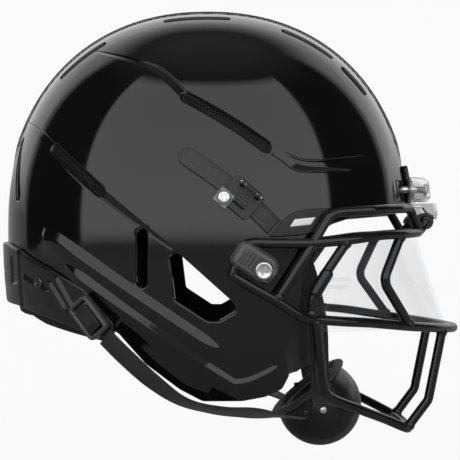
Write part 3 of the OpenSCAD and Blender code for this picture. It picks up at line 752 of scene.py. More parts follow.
class Groove:
    """Recess with a crisp upper wall and a floor that slopes back up; thin at its first point."""

    WALL_RUN = 0.9

    def __init__(self, points, wide, depth, into_vent=True):
        self.line = side_line(points)
        self.wide, self.depth, self.into_vent = wide, depth, into_vent
        self.reach = wide / 2 + 2

    def width(self, along, length):
        return 2.0 + (self.wide - 2.0) * np.clip(along / length, 0, 1)

    def height(self, q):
        above, along, length = measure(q, self.line)
        width = self.width(along, length)
        drop = self.depth * (0.35 + 0.65 * np.clip(along / length, 0, 1)) * ramp(along, 0, 10)
        drop = drop * (ramp(length + 2 - along, 0, 1) if self.into_vent else ramp(length - along, 0, 10))
        floor = np.clip((above + width / 2) / (width - self.WALL_RUN), 0, 1)
        wall = np.clip((width / 2 - above) / self.WALL_RUN, 0, 1)
        return -drop * np.minimum(floor, wall)

    def rows(self):
        top = [lambda s, n, d=d: self.width(s, n) / 2 + d for d in (0.35, -0.45, -1.25)]
        low = [lambda s, n, d=d: -self.width(s, n) / 2 + d for d in (0.4, -0.4)]
        return rows_beside(self.line, top + low)


class Step:
    """Chamfer of constant slope with pointed ends; the ground below it stands proud, then settles."""

    STEEPNESS = 0.42

    def __init__(self, points, widths, settle, fades):
        self.line = side_line(points)
        self.widths, self.settle, self.fades = widths, settle, fades
        self.reach = max(widths) / 2 + 2

    def width(self, along, length):
        ends = ramp(along, 0, self.fades[0]) * ramp(length - along, 0, self.fades[1])
        first, last = self.widths
        return np.maximum(ends, 0.02) * (first + (last - first) * np.clip(along / length, 0, 1))

    def height(self, q):
        above, along, length = measure(q, self.line)
        width = self.width(along, length)
        t = np.clip(0.5 - above / width, 0, 1)
        tail = 1 - ramp(-above, *self.settle)
        return self.STEEPNESS * width * t * tail * ramp(width, 0.1, 2.4)

    def rows(self):
        return rows_beside(self.line, [lambda s, n, k=k, d=d: k * self.width(s, n) / 2 + d
                                       for k in (1, -1) for d in (0.4, -0.4)])


SWEEP_HIGH_REAR = [(-78, 129.5), (-52, 120), (-31.5, 111.4), (-14.7, 95.2)]
SWEEP_HIGH_FRONT = [(100, 45.4), (87.4, 45.6), (60.7, 46.3), (50, 53.3), (41.3, 59)]
SWEEP_LOW_REAR = [(-126, 82), (-112.3, 72.1), (-102.2, 61.6)]
SWEEP_LOW_FRONT = [(-20, -6.4), (-35.3, 5.1), (-52, 18.2), (-68, 30.9)]
SWEEP_BROW = [(30, 69), (41, 63), (62.7, 51.6), (94.5, 53.8), (108, 56)]
BAND = [(-107, 9.8), (-103, 6.9), (-49, -30), (6.1, -67.1), (14, -72.5)]
RIM_CREASE = [(-95.5, -11.8), (-88, -17), (-38, -52), (12, -86.5), (22, -90.5), (34, -87), (49.9, -78.7)]
FEATURES = [
    Groove(SWEEP_HIGH_REAR, 6.8, 1.3),
    Groove(SWEEP_HIGH_FRONT, 6.8, 1.3),
    Groove(SWEEP_LOW_REAR, 6.8, 1.3),
    Groove(SWEEP_LOW_FRONT, 6.8, 1.2),
    Groove(SWEEP_BROW, 2.4, 0.7, into_vent=False),
    Step(BAND, (5.6, 5.2), (5, 19), (17, 18)),
    Step(RIM_CREASE, (6.4, 2.6), (5, 15), (26, 10)),
]


def relief(q):
    """Height of the moulded surface above the plain form at points of the right half."""
    q = np.asarray(q, float)
    spine = SPINE_STEP * (1 - ramp(np.abs(q[:, 1]), SPINE_HALF - 1.1, SPINE_HALF + 1.1))
    total = spine * ramp(q[:, 2], 46, 70)
    for f in FEATURES:
        total = total + f.height(q)
    return total


def side_view(outline, step):
    """Closed side-view outline as points on the right side of the shell."""
    p = resample(outline, step, closed=True)
    return right_at(p[:, 0], p[:, 1])


def slot_on(p, q, r):
    """Outline of a slot between two surface points, laid on the surface."""
    middle = (p + q) / 2
    n = outward(onto_shell(middle))
    e1 = unit(q - p)
    e2 = np.cross(n, e1)
    span = float(np.linalg.norm(q - p))
    o = resample(capsule((-span / 2, 0), (span / 2, 0), r), 0.9, closed=True)
    return onto_shell(middle + o[:, :1] * e1 + o[:, 1:] * e2 + 0.06 * span * n)


BROW_Z = 23.0
NAPE_Z = -40.6
LOWER_EDGE = [(104, 17), (82, 10), (69, 0), (64, -14), (63, -38), (58, -52), (55, -61), (52, -74),
              (54.5, -88), (50, -97), (39, -102), (24, SHELL_LOW[2]), (-2, SHELL_LOW[2]), (-17, -96.6),
              (-39, -80), (-57, -60), (-76, -54), (-97, -47), (-125, -41)]
LOWER_ROUNDS = [0, 8, 8, 8, 5, 5, 5, 4, 5, 3, 4, 5, 5, 5, 5, 5, 5, 5, 5, 0]
CROWN_VENTS = [((-99, -44), (-72, -46), 3.0), ((-27, -44), (13, -44), 3.0),
               ((54, -45), (84, -44), 3.0), ((95, -46), (107, -45), 3.6)]
SCREENED_VENTS = [((-13, 94), (40, 60), 3.4), ((-101, 61), (-69, 32), 3.4)]
REAR_VENT = (compass_at(196, 68), compass_at(203, 30), 3.2)
EAR_SLOT = ((-41, 4), (-41, -27), 3.6)
EAR_HOLE = [(-23, -9), (-17.4, -8.3), (19.5, -41.4), (19, -46), (9.3, -51.6), (1.5, -51.6), (-19.4, -38)]


def lower_edge():
    """The right half's free edge, from the middle of the brow to the middle of the nape."""
    front = front_at(np.linspace(0, -60, 40), BROW_Z)
    y_end = front[-1]
    side = rounded([(y_end[0], BROW_Z)] + LOWER_EDGE, LOWER_ROUNDS, closed=False)
    side = resample(side, 0.8)
    x, z = LOWER_EDGE[-1]
    turn = math.degrees(math.atan2(right_at(x, z)[1], x)) % 360
    back = compass_at(np.linspace(turn, 180, 60), z)
    back[:, 2] = np.linspace(z, NAPE_Z, 60)
    q = np.vstack([front[:-1], right_at(side[:, 0], side[:, 1]), onto_shell(back)[1:]])
    q = onto_shell(resample(q, 1.5))
    q[0, 1] = q[-1, 1] = 0
    return q


def hole_loops():
    """Outlines of every opening in the right half."""
    p, q, r = EAR_SLOT
    loops = [side_view(rounded(EAR_HOLE, 3.0, steps=5), 1.0), side_view(capsule(p, q, r - 0.2), 0.9)]
    for p, q, r in CROWN_VENTS:
        loops.append(slot_on(crown_at(*p), crown_at(*q), r))
    for p, q, r in SCREENED_VENTS:
        loops.append(slot_on(right_at(*p), right_at(*q), r))
    loops.append(slot_on(*REAR_VENT))
    return loops


def edge_rings(loop, closed, solid):
    """Rings of points inside the material along an edge; solid(q) says which points are material."""
    if closed:
        run = np.roll(loop, -1, axis=0) - np.roll(loop, 1, axis=0)
    else:
        run = np.gradient(loop, axis=0)
        run[0] = [0, run[0][1], 0]
        run[-1] = [0, run[-1][1], 0]
    side = unit(np.cross(outward(loop), unit(run)))
    if solid(to_map(onto_shell(loop + side))).mean() < 0.5:
        side = -side
    return [(d, onto_shell(loop + d * side) if d else loop, -side) for d in RINGS]


def seam_line(edge):
    """Points of the middle plane from the nape over the crown to the brow."""
    start, end = np.arctan2(*(to_map(edge[[0, -1]]) / [[1, STRETCH], [1, STRETCH]]).T[::-1])
    arc = np.linspace(end if end > start else end + 2 * math.pi, start, 900)[1:-1]
    ring = np.stack([SEAM * np.cos(arc), SEAM * np.sin(arc)], -1)
    ring[:, 1] = np.where(ring[:, 1] < 0, ring[:, 1] * STRETCH, ring[:, 1])
    seam = resample(from_map(ring), COARSE * 0.8)[1:-1]
    seam[:, 1] = 0
    return seam


def ring_points(edge, holes, outline_size, boundary, near, solid):
    """Points of the rounding rings with their distances and directions to the edge, and the edge's own."""
    towards = np.zeros((len(boundary), 3))
    rings = []
    starts = [0] + [outline_size + sum(len(h) for h in holes[:k]) for k in range(len(holes))]
    for k, (start, loop) in enumerate(zip(starts, [edge] + holes)):
        found = edge_rings(loop, k > 0, solid)
        towards[start:start + len(loop)] = found[0][2]
        rings += [ring for ring in found if ring[0] > 0]
    q = np.vstack([p for d, p, way in rings])
    d = np.concatenate([np.full(len(p), d) for d, p, way in rings])
    way = np.vstack([way for d, p, way in rings])
    order = np.argsort(d, kind="stable")
    q, d, way = q[order], d[order], way[order]
    gap = gaps(q, near)
    ok = solid(to_map(q)) & (gap > d * 0.8) | (np.abs(q[:, 1]) < 1e-6) & (gap > 0.05)
    return q[ok], d[ok], way[ok], towards


def crease_points(near, near_rings, solid):
    """Rows of points along both edges of every moulded feature."""
    lines = np.zeros((0, 3))
    for f in FEATURES:
        row = f.rows()
        row = row[solid(to_map(row)) & (row[:, 1] < -1)]
        ok = (gaps(row, near) > 0.9) & (gaps(row, near_rings) > 0.7)
        if len(lines):
            ok &= np.linalg.norm(row[:, None] - lines[None], axis=-1).min(axis=1) > 0.8
        lines = np.vstack([lines, row[ok]])
    return lines


def field_points(near, solid):
    """Even grid of points over the rest of the half, finer beside moulded features."""
    step = FINE / (CROWN * 0.93)
    lift = step * 0.866
    rows = []
    for j in range(int(-2.2 / lift), int(1.5 / lift) + 1):
        xs = np.arange(-1.5, 1.5, step) + (j % 2) * step / 2
        kind = np.arange(len(xs)) % 2 + (j % 2) * 2.0
        rows.append(np.stack([xs, np.full(len(xs), j * lift), kind], -1))
    grid = np.vstack(rows)
    grid = grid[solid(grid[:, :2])]
    q = from_map(grid[:, :2])
    busy = np.abs(np.abs(q[:, 1]) - SPINE_HALF) < 3.4
    for f in FEATURES:
        above, along, length = measure(q, f.line)
        busy |= (np.abs(above) < f.reach) & (along > -6) & (along < length + 6)
    keep = busy | (grid[:, 2] == 0)
    q, busy = q[keep], busy[keep]
    room = np.where(busy, FINE * 0.62, COARSE * 0.55)
    return q[(gaps(q, near) > room) & (-q[:, 1] > room)]


def triangles(q, edges, solid):
    """Triangles of the right half that keep to its edges and face outward."""
    w = to_map(q)
    got = delaunay_2d_cdt([Vector(v) for v in w], edges, [], 1, 1e-7, True)
    back = [o[0] if o else -1 for o in got[3]]
    tri = np.array([[back[i] for i in f] for f in got[2]])
    tri = tri[(tri >= 0).all(axis=1)]
    tri = tri[solid(w[tri].mean(axis=1))]
    twist = np.cross(q[tri[:, 1]] - q[tri[:, 0]], q[tri[:, 2]] - q[tri[:, 0]])
    wrong = (twist * outward(q[tri].mean(axis=1))).sum(-1) < 0
    tri[wrong] = tri[wrong][:, ::-1]
    return tri


def relief_normals(q, n):
    """Normals of the moulded surface at points whose plain normals are n."""
    step = 0.15
    e1 = unit(np.cross(n, [0.13, 0.2, 0.97]))
    e2 = np.cross(n, e1)
    g1, g2 = [(relief(q + step * e) - relief(q - step * e)) / (2 * step) for e in (e1, e2)]
    return unit(n - g1[:, None] * e1 - g2[:, None] * e2)


def build_shell():
    """The shell: one half is meshed on the map, given its relief and wall, then mirrored."""
    edge = lower_edge()
    holes = hole_loops()
    loops = [np.vstack([edge, seam_line(edge)])] + holes
    maps = [to_map(l) for l in loops]

    def solid(w):
        ok = inside(w, maps[0])
        for m in maps[1:]:
            ok &= ~inside(w, m)
        return ok

    edges = []
    base = 0
    for loop in loops:
        edges += [(base + i, base + (i + 1) % len(loop)) for i in range(len(loop))]
        base += len(loop)
    boundary = np.vstack(loops)
    number = np.arange(len(boundary))
    on_edge = (number < len(edge)) | (number >= len(loops[0]))
    near = tree_of(boundary)
    rings, ring_d, ring_way, edge_way = ring_points(edge, holes, len(loops[0]), boundary, near, solid)
    inner = np.vstack([rings, crease_points(near, tree_of(rings), solid)])
    field = field_points(tree_of(np.vstack([boundary, inner])), solid)
    q = np.vstack([boundary, inner, field])
    plain = len(q) - len(boundary) - len(rings)
    d = np.concatenate([np.where(on_edge, 0.0, EDGE_R), np.minimum(ring_d, EDGE_R), np.full(plain, EDGE_R)])
    way = np.vstack([edge_way, ring_way, np.zeros((plain, 3))])
    tri = triangles(q, edges, solid)

    n = outward(q)
    sine = np.clip((EDGE_R - d) / EDGE_R, 0, 1)
    cosine = np.sqrt(1 - sine ** 2)
    normal = unit(relief_normals(q, n) * cosine[:, None] + way * sine[:, None])
    outer = q + (relief(q) - EDGE_R * (1 - cosine))[:, None] * n
    back_side = q - WALL * n
    on_seam = np.abs(q[:, 1]) < 1e-6
    outer[on_seam, 1] = back_side[on_seam, 1] = normal[on_seam, 1] = 0
    count = len(q)
    faces = [tuple(t) for t in tri] + [tuple(t + count)[::-1] for t in tri]
    directed = {e for a, b, c in tri for e in ((a, b), (b, c), (c, a))}
    for a, b in edges:
        if on_seam[a] and on_seam[b]:
            continue
        if (b, a) in directed:
            a, b = b, a
        if (a, b) in directed:
            faces.append((b, a, a + count, b + count))
    verts = np.vstack([outer, back_side])
    normals = np.vstack([normal, np.where((d < 1e-9)[:, None], unit(way - n), -n)])
    seam = np.concatenate([on_seam, on_seam])
    twin = np.where(seam, np.arange(2 * count), 2 * count + np.cumsum(~seam) - 1)
    faces += [tuple(int(twin[i]) for i in reversed(f)) for f in faces]
    verts = np.vstack([verts, flip(verts[~seam])])
    normals = np.vstack([normals, flip(normals[~seam])])
    obj = piece("shell_skin", verts, faces, M["shell_gloss"], "shell_gloss")
    obj.data.normals_split_custom_set_from_vertices(unit(normals).tolist())
    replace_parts(obj, "outer_shell")


build_shell()


# ---- sheets that follow the shell --------------------------------------------------------
def fall_off(distance, r):
    """Drop of a quarter-round edge at a distance from it."""
    d = np.clip(distance, 0, r)
    return r - np.sqrt(np.maximum(0, r * r - (r - d) ** 2))


def stations(length, r, step):
    """Places along a length, close together near both ends so that the rounding is smooth."""
    ends = np.array([0, 0.06, 0.25, 0.6]) * r
    middle = np.linspace(r, length - r, max(2, int((length - 2 * r) / step) + 1))
    return np.concatenate([ends, middle, (length - ends)[::-1]])


def plate(grid, high, low):
    """Closed sheet over a grid of surface points, from height low to height high."""
    grid = np.asarray(grid, float)
    rows, cols = grid.shape[:2]
    n = outward(grid)
    high, low = [np.broadcast_to(level, (rows, cols))[..., None] for level in (high, low)]
    points = np.vstack([(grid + high * n).reshape(-1, 3), (grid + low * n).reshape(-1, 3)])
    faces = grid_faces(rows, cols)
    a, b, c = points[0], points[1], points[cols]
    if np.dot(np.cross(b - a, c - a), n[0, 0]) > 0:
        faces = reverse(faces)
    return points, faces


def band(spine, faces_out, width, thick, r):
    """Strap of rounded section along a line; faces_out are the directions it faces."""
    p = np.asarray(spine, float)
    run = unit(np.gradient(p, axis=0))
    across = unit(np.cross(faces_out, run))
    n = unit(np.cross(run, across))
    section = rectangle(width, thick, r, steps=3) + (0, thick / 2)
    return loft([here + section[:, :1] * a + section[:, 1:] * b for here, a, b in zip(p, across, n)])


def both(name, build, material, slot, body="shell", nodes=(), edge=None):
    """Makes the piece for the wearer's right and its mirror image for the left."""
    out = []
    for side, tag in ((RIGHT, "right"), (LEFT, "left")):
        rides = body if body in frame["bodies"] else f"{body[0]}{tag}{body[1]}"
        obj = build.piece(f"{name}_{tag}", material, slot, body=rides, side=side)
        if edge:
            bevel(obj, edge)
        out.append(obj)
    for node in nodes:
        if "{}" in node:
            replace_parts(out[0], node.format("right"))
            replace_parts(out[1], node.format("left"))
        else:
            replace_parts(out[0], node)
    return out


# ---- vent screens ------------------------------------------------------------------------
CELL = 2.5
CELL_WALL = 0.62


def hex_screen(build, p, q, r):
    """Honeycomb net laid along a slot, a little below the shell's surface, and the rim round it."""
    middle = (p + q) / 2
    n = outward(onto_shell(middle))
    e1 = unit(q - p)
    e2 = np.cross(n, e1)
    half = float(np.linalg.norm(q - p)) / 2
    high, low = -1.9, -2.9

    def place(s, t, d):
        return off(onto_shell(middle + s * e1 + t * e2 + 0.12 * half * n), d)

    def collar(rings):
        """Closed ring with a four-sided section."""
        points, faces = loft(rings, cap=False)
        k = len(rings[0])
        faces += [(3 * k + i, 3 * k + (i + 1) % k, (i + 1) % k, i) for i in range(k)]
        build.add((points, reverse(faces)))

    corner = [(math.cos(a), math.sin(a)) for a in np.radians(np.arange(30, 390, 60))]
    outer_r, inner_r = CELL / math.sqrt(3), (CELL - CELL_WALL) / math.sqrt(3)
    section = ((outer_r, low), (outer_r, high), (inner_r, high - 0.12), (inner_r, low))
    for row in range(-3, 4):
        for col in range(-20, 21):
            s = col * CELL + (row % 2) * CELL / 2
            t = row * CELL * math.sqrt(3) / 2
            if math.hypot(max(0, abs(s) - half), t) <= r - 0.2:
                collar([[place(s + radius * x, t + radius * y, d) for x, y in corner]
                        for radius, d in section])
    outline = capsule((-half, 0), (half, 0), 1.0)
    round_end = np.sign(outline[:, 0]) * (np.abs(outline[:, 0]) > half)
    rings = []
    for radius, d in ((r - 0.1, low), (r - 0.1, high + 0.2), (r - 0.9, high + 0.2), (r - 0.9, low)):
        ring = np.column_stack([outline[:, 0] + round_end * (radius - 1.0), outline[:, 1] * radius])
        rings.append([place(s, t, d) for s, t in ring])
    collar(rings)


def vent_screens():
    build = Build()
    for p, q, r in SCREENED_VENTS:
        hex_screen(build, right_at(*p), right_at(*q), r)
    both("vent_screen", build, M["screen_mesh"], "screen_mesh", nodes=["vent_screens"])


vent_screens()

# ---- rear bumper and nape ----------------------------------------------------------------
BUMPER_T = 3.4
BUMPER_GAP = 0.3
BUMPER_REACH = 61.0
BUMPER_TOP = np.array([[0, -1], [18, -2], [26, -6], [40, -18], [52, -31], [62, -56]], float)
BUMPER_BOTTOM = np.array([[0, -41.5], [24, -44], [42, -53], [52, -60], [62, -66]], float)
DEGREE = 2.3                 # millimetres for each degree of compass angle at the bumper


def beyond(a, z, p, q):
    """Distance of (angle, level) points to the left of the line from p to q, in millimetres."""
    run = unit(np.array([(q[0] - p[0]) * DEGREE, q[1] - p[1]]))
    return run[0] * (z - p[1]) - run[1] * (a - p[0]) * DEGREE


def slanted_rib(a, z, p, q, half, rise):
    """Raised bar between two (angle, level) points."""
    ax, px, qx = a * DEGREE, p[0] * DEGREE, q[0] * DEGREE
    run = np.array([qx - px, q[1] - p[1]])
    t = np.clip(((ax - px) * run[0] + (z - p[1]) * run[1]) / (run @ run), 0, 1)
    far = np.hypot(ax - px - t * run[0], z - p[1] - t * run[1])
    return rise * (1 - ramp(far, half - 0.45, half + 0.45))


def bumper_relief(a, z):
    """Moulded detail of the bumper: back frame, window slots, stepped panels and slanted ribs."""
    a = np.abs(a)
    frame_in = ramp(a, 26.6, 27.6)
    slot = ramp(a, 21.6, 22.2) * (1 - ramp(a, 25.2, 25.8))
    slot = slot * ramp(z, -29.2, -28.2) * (1 - ramp(z, -11.2, -10.2))
    height = -1.1 * frame_in - 2.0 * slot
    ledge = ramp(-beyond(a, z, (29, -23.2), (40, -32.5)), -0.4, 0.6) * ramp(a, 28.0, 28.8)
    ledge = ledge * (1 - ramp(a, 39.4, 40.6)) * ramp(z, -46, -43)
    height = height + 1.0 * ledge
    upper = ramp(-beyond(a, z, (24, -10.5), (52, -37)), -0.4, 0.5) * frame_in
    height = height - 0.8 * upper * (1 - ledge)
    for p, q, half in (((40.6, -29), (45.6, -45), 1.5), ((43.2, -26), (50.4, -53), 1.7)):
        height = np.maximum(height, slanted_rib(a, z, p, q, half, 1.5) - 1.1)
    groove = np.exp(-((z + 21) / 0.5) ** 2) + np.exp(-((z + 33) / 0.5) ** 2)
    return height - 0.5 * groove * (1 - ramp(a, 17.0, 18.0)) * ramp(a, -1, 1)


def rear_bumper():
    reach = BUMPER_REACH * DEGREE
    along = stations(2 * reach, 1.3, 1.15) / DEGREE - BUMPER_REACH
    rows, high = [], []
    for a in along:
        top = np.interp(abs(a), *BUMPER_TOP.T)
        low = np.interp(abs(a), *BUMPER_BOTTOM.T)
        z = top - stations(1.0, 0.035, 0.03) * (top - low)
        rows.append(compass_at(180 + a, z))
        edge = np.minimum(np.minimum(top - z, z - low), (BUMPER_REACH - abs(a)) * DEGREE)
        high.append(BUMPER_GAP + BUMPER_T - fall_off(edge, 1.3) + bumper_relief(np.full(len(z), a), z))
    points, faces = plate(rows, np.array(high), BUMPER_GAP)
    obj = piece("rear_bumper_shell", points, faces, M["bumper_satin"], "bumper_satin")
    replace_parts(obj, "rear_bumper")


rear_bumper()


def nape_pad():
    """Ribbed rubber wrap under the bumper, thick at the bottom and tucked inside the shell."""
    reach, rows, high = 56.0, [], []
    along = stations(2 * reach * DEGREE, 3.0, 0.9) / DEGREE - reach
    for a in along:
        low = np.interp(abs(a), [0, 24, 32, 56], [-52, -53, -58, -68])
        z = low + stations(1.0, 0.14, 0.045) * 17
        rows.append(compass_at(180 + a, z))
        edge = np.minimum(np.minimum(z - low, low + 17 - z), (reach - abs(a)) * DEGREE)
        phase = (a * DEGREE * 0.82 + z * 0.57 * math.copysign(1, a)) / 4.6
        rib = 0.9 * np.abs(np.sin(math.pi * phase)) ** 0.6 * ramp(edge, 0.5, 3)
        high.append(-WALL - 0.9 - 0.9 - fall_off(edge, 3.0) + rib)
    points, faces = plate(rows, np.array(high), -WALL - 13.0)
    obj = piece("nape_cushion", points, faces, M["nape_rubber"], "nape_rubber")
    bevel(obj, 2.0, 3, 60)
    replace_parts(obj, "nape_pad")


nape_pad()

# ---- front bumper and side panels --------------------------------------------------------
def front_bumper():
    half_w, z_low, z_high, t = 24.0, 26.0, 52.0, 4.2
    ys = stations(2 * half_w, 1.4, 1.2) - half_w
    zs = z_low + stations(z_high - z_low, 1.4, 1.2)
    rows, high = [], []
    for y in ys:
        edge_y = half_w - abs(y)
        lift = float(fall_off(edge_y, 4.0))
        z = z_low + lift * 0.6 + (zs - z_low) * (z_high - z_low - lift * 1.6) / (z_high - z_low)
        rows.append(front_at(y, z))
        edge = np.minimum(np.minimum(z - z[0], z[-1] - z), edge_y)
        inset = ramp(z, z_low + 3, z_low + 3.8) * (1 - ramp(z, z_high - 5.8, z_high - 5))
        high.append(t - fall_off(edge, 1.4) - 0.55 * inset * ramp(edge_y - 3, 0, 0.8))
    points, faces = plate(rows, np.array(high), 0.15)
    obj = piece("front_bumper_shell", points, faces, M["bumper_satin"], "bumper_satin")
    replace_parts(obj, "front_bumper")


front_bumper()
PANEL_TOP = [(49.8, 13.2), (57, 17.8), (67, 20), (80, 20.6)]
PANEL_LOW = [(40.4, 1.8), (48, 2), (62, 3), (72.5, 6)]


def side_panels():
    """Satin panels beside the brow, each with a plain slanted white mark."""
    top, low = smooth(PANEL_TOP, 16), smooth(PANEL_LOW, 16)
    rows, high = [], []
    for k in range(len(top)):
        t = stations(1.0, 0.07, 0.05)
        c = top[k] + (low[k] - top[k]) * t[:, None]
        rows.append(right_at(c[:, 0], c[:, 1]))
        span = np.linalg.norm(top[k] - low[k])
        ends = min(k, len(top) - 1 - k) * 0.85
        edge = np.minimum(np.minimum(t, 1 - t) * span, ends)
        high.append(0.12 + 1.3 - fall_off(edge, 0.9))
    panel = Build().add(plate(rows, np.array(high), 0.12))
    s, t = np.meshgrid(np.linspace(0, 1, 14), np.linspace(0, 1, 6), indexing="ij")
    mark = Build().add(plate(right_at(53.5 + 13.5 * s + 3.2 * t, 8.4 + 1.4 * s + 4.8 * t), 1.64, 1.3))
    both("brow_panel", panel, M["panel_satin"], "panel_satin", nodes=["side_panel_{}"])
    both("brow_mark", mark, M["mark_white"], "panel_satin")


side_panels()

# ---- small hardware ----------------------------------------------------------------------
SCREW = [(0.8, 0), (0.97, 0.12), (1, 0.45), (0.93, 0.8), (0.78, 1), (0.5, 1.06), (0.46, 1.04), (0.43, 0.35)]


def screw(head_r, head_h):
    """Dished screw head with a recess, standing on the origin with its face at the top."""
    return lathe([(head_r * r, head_h * h) for r, h in SCREW])


def place_at(points, origin, toward):
    """Turns local points so that +Z looks along toward, then moves them to origin."""
    n = unit(toward)
    e1 = unit(np.cross([0, 1, 0.01], n))
    e2 = np.cross(n, e1)
    p = np.asarray(points, float)
    return np.asarray(origin, float) + p[:, :1] * e1 + p[:, 1:2] * e2 + p[:, 2:] * n


BUMPER_SCREW = compass_at(216, -28)
CAM = right_at(24, 27)
CAM_SPIN = -40.0
CAM_SCREW = np.array([-9.5, -8.5, 0])
CAM_HINGE = np.array([0, 6.6, 5.4])
CAM_LEVER_X = (-4.15, 5.15)
BUCKLE = right_at(-72, -49)
BUCKLE_SPIN = -49.0
BUCKLE_LIFT = BUMPER_GAP + BUMPER_T + 0.15
BUCKLE_HINGE = np.array([-8, 0, 4.2])


def on_bumper(points):
    return seat(points, BUMPER_SCREW, BUMPER_T - 1.0)


def bumper_screws():
    build = Build().add(screw(4.2, 1.6), on_bumper)
    build.add(lathe([(1.9, -9), (2.2, -8.6), (2.2, 0.4), (1.9, 0.5)], 24), on_bumper)
    both("bumper_screw", build, M["steel_dark"], "steel", nodes=["rear_bumper_screws"])


bumper_screws()


def high_strap():
    """Coated strap with a rounded end and raised rims."""
    path = smooth([(-16.5, 56.5), (-13, 54), (3, 43), (24, 27), (43.7, 8.3)], 12)
    q = right_at(path[:, 0], path[:, 1])
    far = np.concatenate([[0], np.cumsum(np.linalg.norm(np.diff(q, axis=0), axis=1))])
    half = 6.3
    rows, high = [], []
    t = stations(2.0, 0.16, 0.14) - 1
    for i, start in enumerate(far):
        width = half * math.sqrt(max(0.02, 1 - max(0, 1 - start / half) ** 2))
        run = unit(q[min(i + 1, len(q) - 1)] - q[max(i - 1, 0)])
        across = np.cross(outward(q[i]), run)
        rows.append(onto_shell(q[i] + t[:, None] * width * across))
        edge = np.minimum((1 - np.abs(t)) * width, start)
        rim = 0.35 * ramp(edge, 0.2, 0.5) * (1 - ramp(edge, 1.1, 1.5))
        high.append(0.15 + 1.2 - fall_off(edge, 0.6) + rim - 0.12)
    build = Build().add(plate(rows, np.array(high), 0.15))
    both("high_strap", build, M["strap_coated"], "strap_coated", nodes=["high_strap_{}"])


high_strap()


def on_cam(points, lift=0.0):
    return seat(points, CAM, lift, CAM_SPIN)


def cam():
    """Base plate with two cheeks, the flip lever between them, and the clear washer and screw."""
    hinge_y, hinge_z = CAM_HINGE[1:]
    base = Build().add(slab(rectangle(24, 20, 3, centre=(-1, -1)), 1.7, 3.2), on_cam)
    base.add(lathe([(4.0, 0.3), (4.0, 1.9)], 40), lambda p: on_cam(p + CAM_SCREW))
    cheek = rounded([(hinge_y - 3.0, 2.6), (hinge_y + 2.4, 2.6), (hinge_y + 2.1, 7.7), (hinge_y - 1.8, 7.7)],
                    1.4, steps=4)
    for x in (-5.9, 6.9):
        base.add(prism(cheek, (x - 1.5, x + 1.5), axis=0), on_cam)
    both("cam_plate", base, M["cam_plastic"], "cam_plastic", nodes=["cam_base_{}"], edge=0.35)
    profile = [(-6.4, 4.35), (-4.2, 4.35), (hinge_y - 1, 4.35)]
    profile += [(hinge_y + 2.05 * math.cos(a), hinge_z + 2.05 * math.sin(a))
                for a in np.radians(np.arange(-30, 111, 15))]
    profile += [(hinge_y - 2.6, 6.6), (-3.2, 6.4), (-3.9, 6.7), (-4.4, 7.6), (-5.7, 7.75), (-6.4, 7.0)]
    lever = Build().add(prism(profile, np.linspace(*CAM_LEVER_X, 4), axis=0), on_cam)
    for y in (-1.6, 0.2, 2.0):
        lever.add(tube([(-2.8, y, 6.45), (0.5, y, 6.5), (3.8, y, 6.45)], 0.42, 8), on_cam)
    both("cam_tab", lever, M["cam_plastic"], "cam_plastic", body=("cam_lever_", ""), nodes=["cam_lever_{}"],
         edge=0.3)
    washer = Build().add(slab(rectangle(10.4, 10.4, 1.2, centre=CAM_SCREW[:2]), 3.25, 4.05), on_cam)
    both("cam_washer", washer, M["clear_plastic"], "clear_plastic", nodes=["cam_washers"], edge=0.2)
    head = 4.1
    bolt = Build().add(screw(4.3, 2.1), lambda p: on_cam(p + CAM_SCREW, head))
    bolt.add(slab(rectangle(3.6, 3.6, 0.5, centre=CAM_SCREW[:2]), 0.5, 1.9), lambda p: on_cam(p, head))
    bolt.add(lathe([(1.8, -12), (2.0, -11.7), (2.0, 0.5), (1.8, 0.6)], 24),
             lambda p: on_cam(p + CAM_SCREW, head))
    both("cam_screw", bolt, M["steel"], "steel", nodes=["cam_screws"], edge=0.15)


cam()


def on_buckle(points):
    return seat(points, BUCKLE, BUCKLE_LIFT, BUCKLE_SPIN)


def buckle():
    """Frame with a rolled rim, and the lever that lies in it."""
    levels = ((0, 0), (0, 4.9), (0.5, 6.0), (1.3, 6.4), (2.2, 6.3), (2.9, 5.6), (3.1, 2.3), (6.0, 2.0))
    rings = []
    for inset, z in levels:
        outline = rectangle(27 - 2 * inset, 17 - 2 * inset, max(0.6, 3.6 - inset), steps=6)
        rings.append(np.column_stack([outline, np.full(len(outline), z)]))
    both("buckle_body", Build().add(loft(rings), on_buckle), M["buckle_satin"], "cam_plastic",
         nodes=["buckle_frame_{}"])
    x0, z0 = BUCKLE_HINGE[0], BUCKLE_HINGE[2]
    profile = [(x0 + 2.1 * math.cos(a), z0 + 2.1 * math.sin(a)) for a in np.radians(np.arange(60, 301, 20))]
    profile += [(x0 + 3, 3.15), (x0 + 15.5, 3.2), (x0 + 17.3, 3.6), (x0 + 17.4, 7.2), (x0 + 16.2, 7.5),
                (x0 + 14.8, 6.9), (x0 + 12, 6.3), (x0 + 7, 6.0), (x0 + 3, 5.9)]
    lever = Build().add(prism(profile, (4.95, 2.5, -2.5, -4.95)), on_buckle)
    both("buckle_tongue", lever, M["cam_plastic"], "cam_plastic", body=("buckle_lever_", ""),
         nodes=["buckle_lever_{}"], edge=0.5)


buckle()


# ---- face mask ---------------------------------------------------------------------------
BAR_R = 3.25
BAR_GAP = 5.4
PIVOT_X, PIVOT_Z = 151.0, 13.0
MASK_NOSE_X = 175.0
MASK_HALF = 118.0
MASK_TOP, MASK_MOUTH = 5.0, -60.0


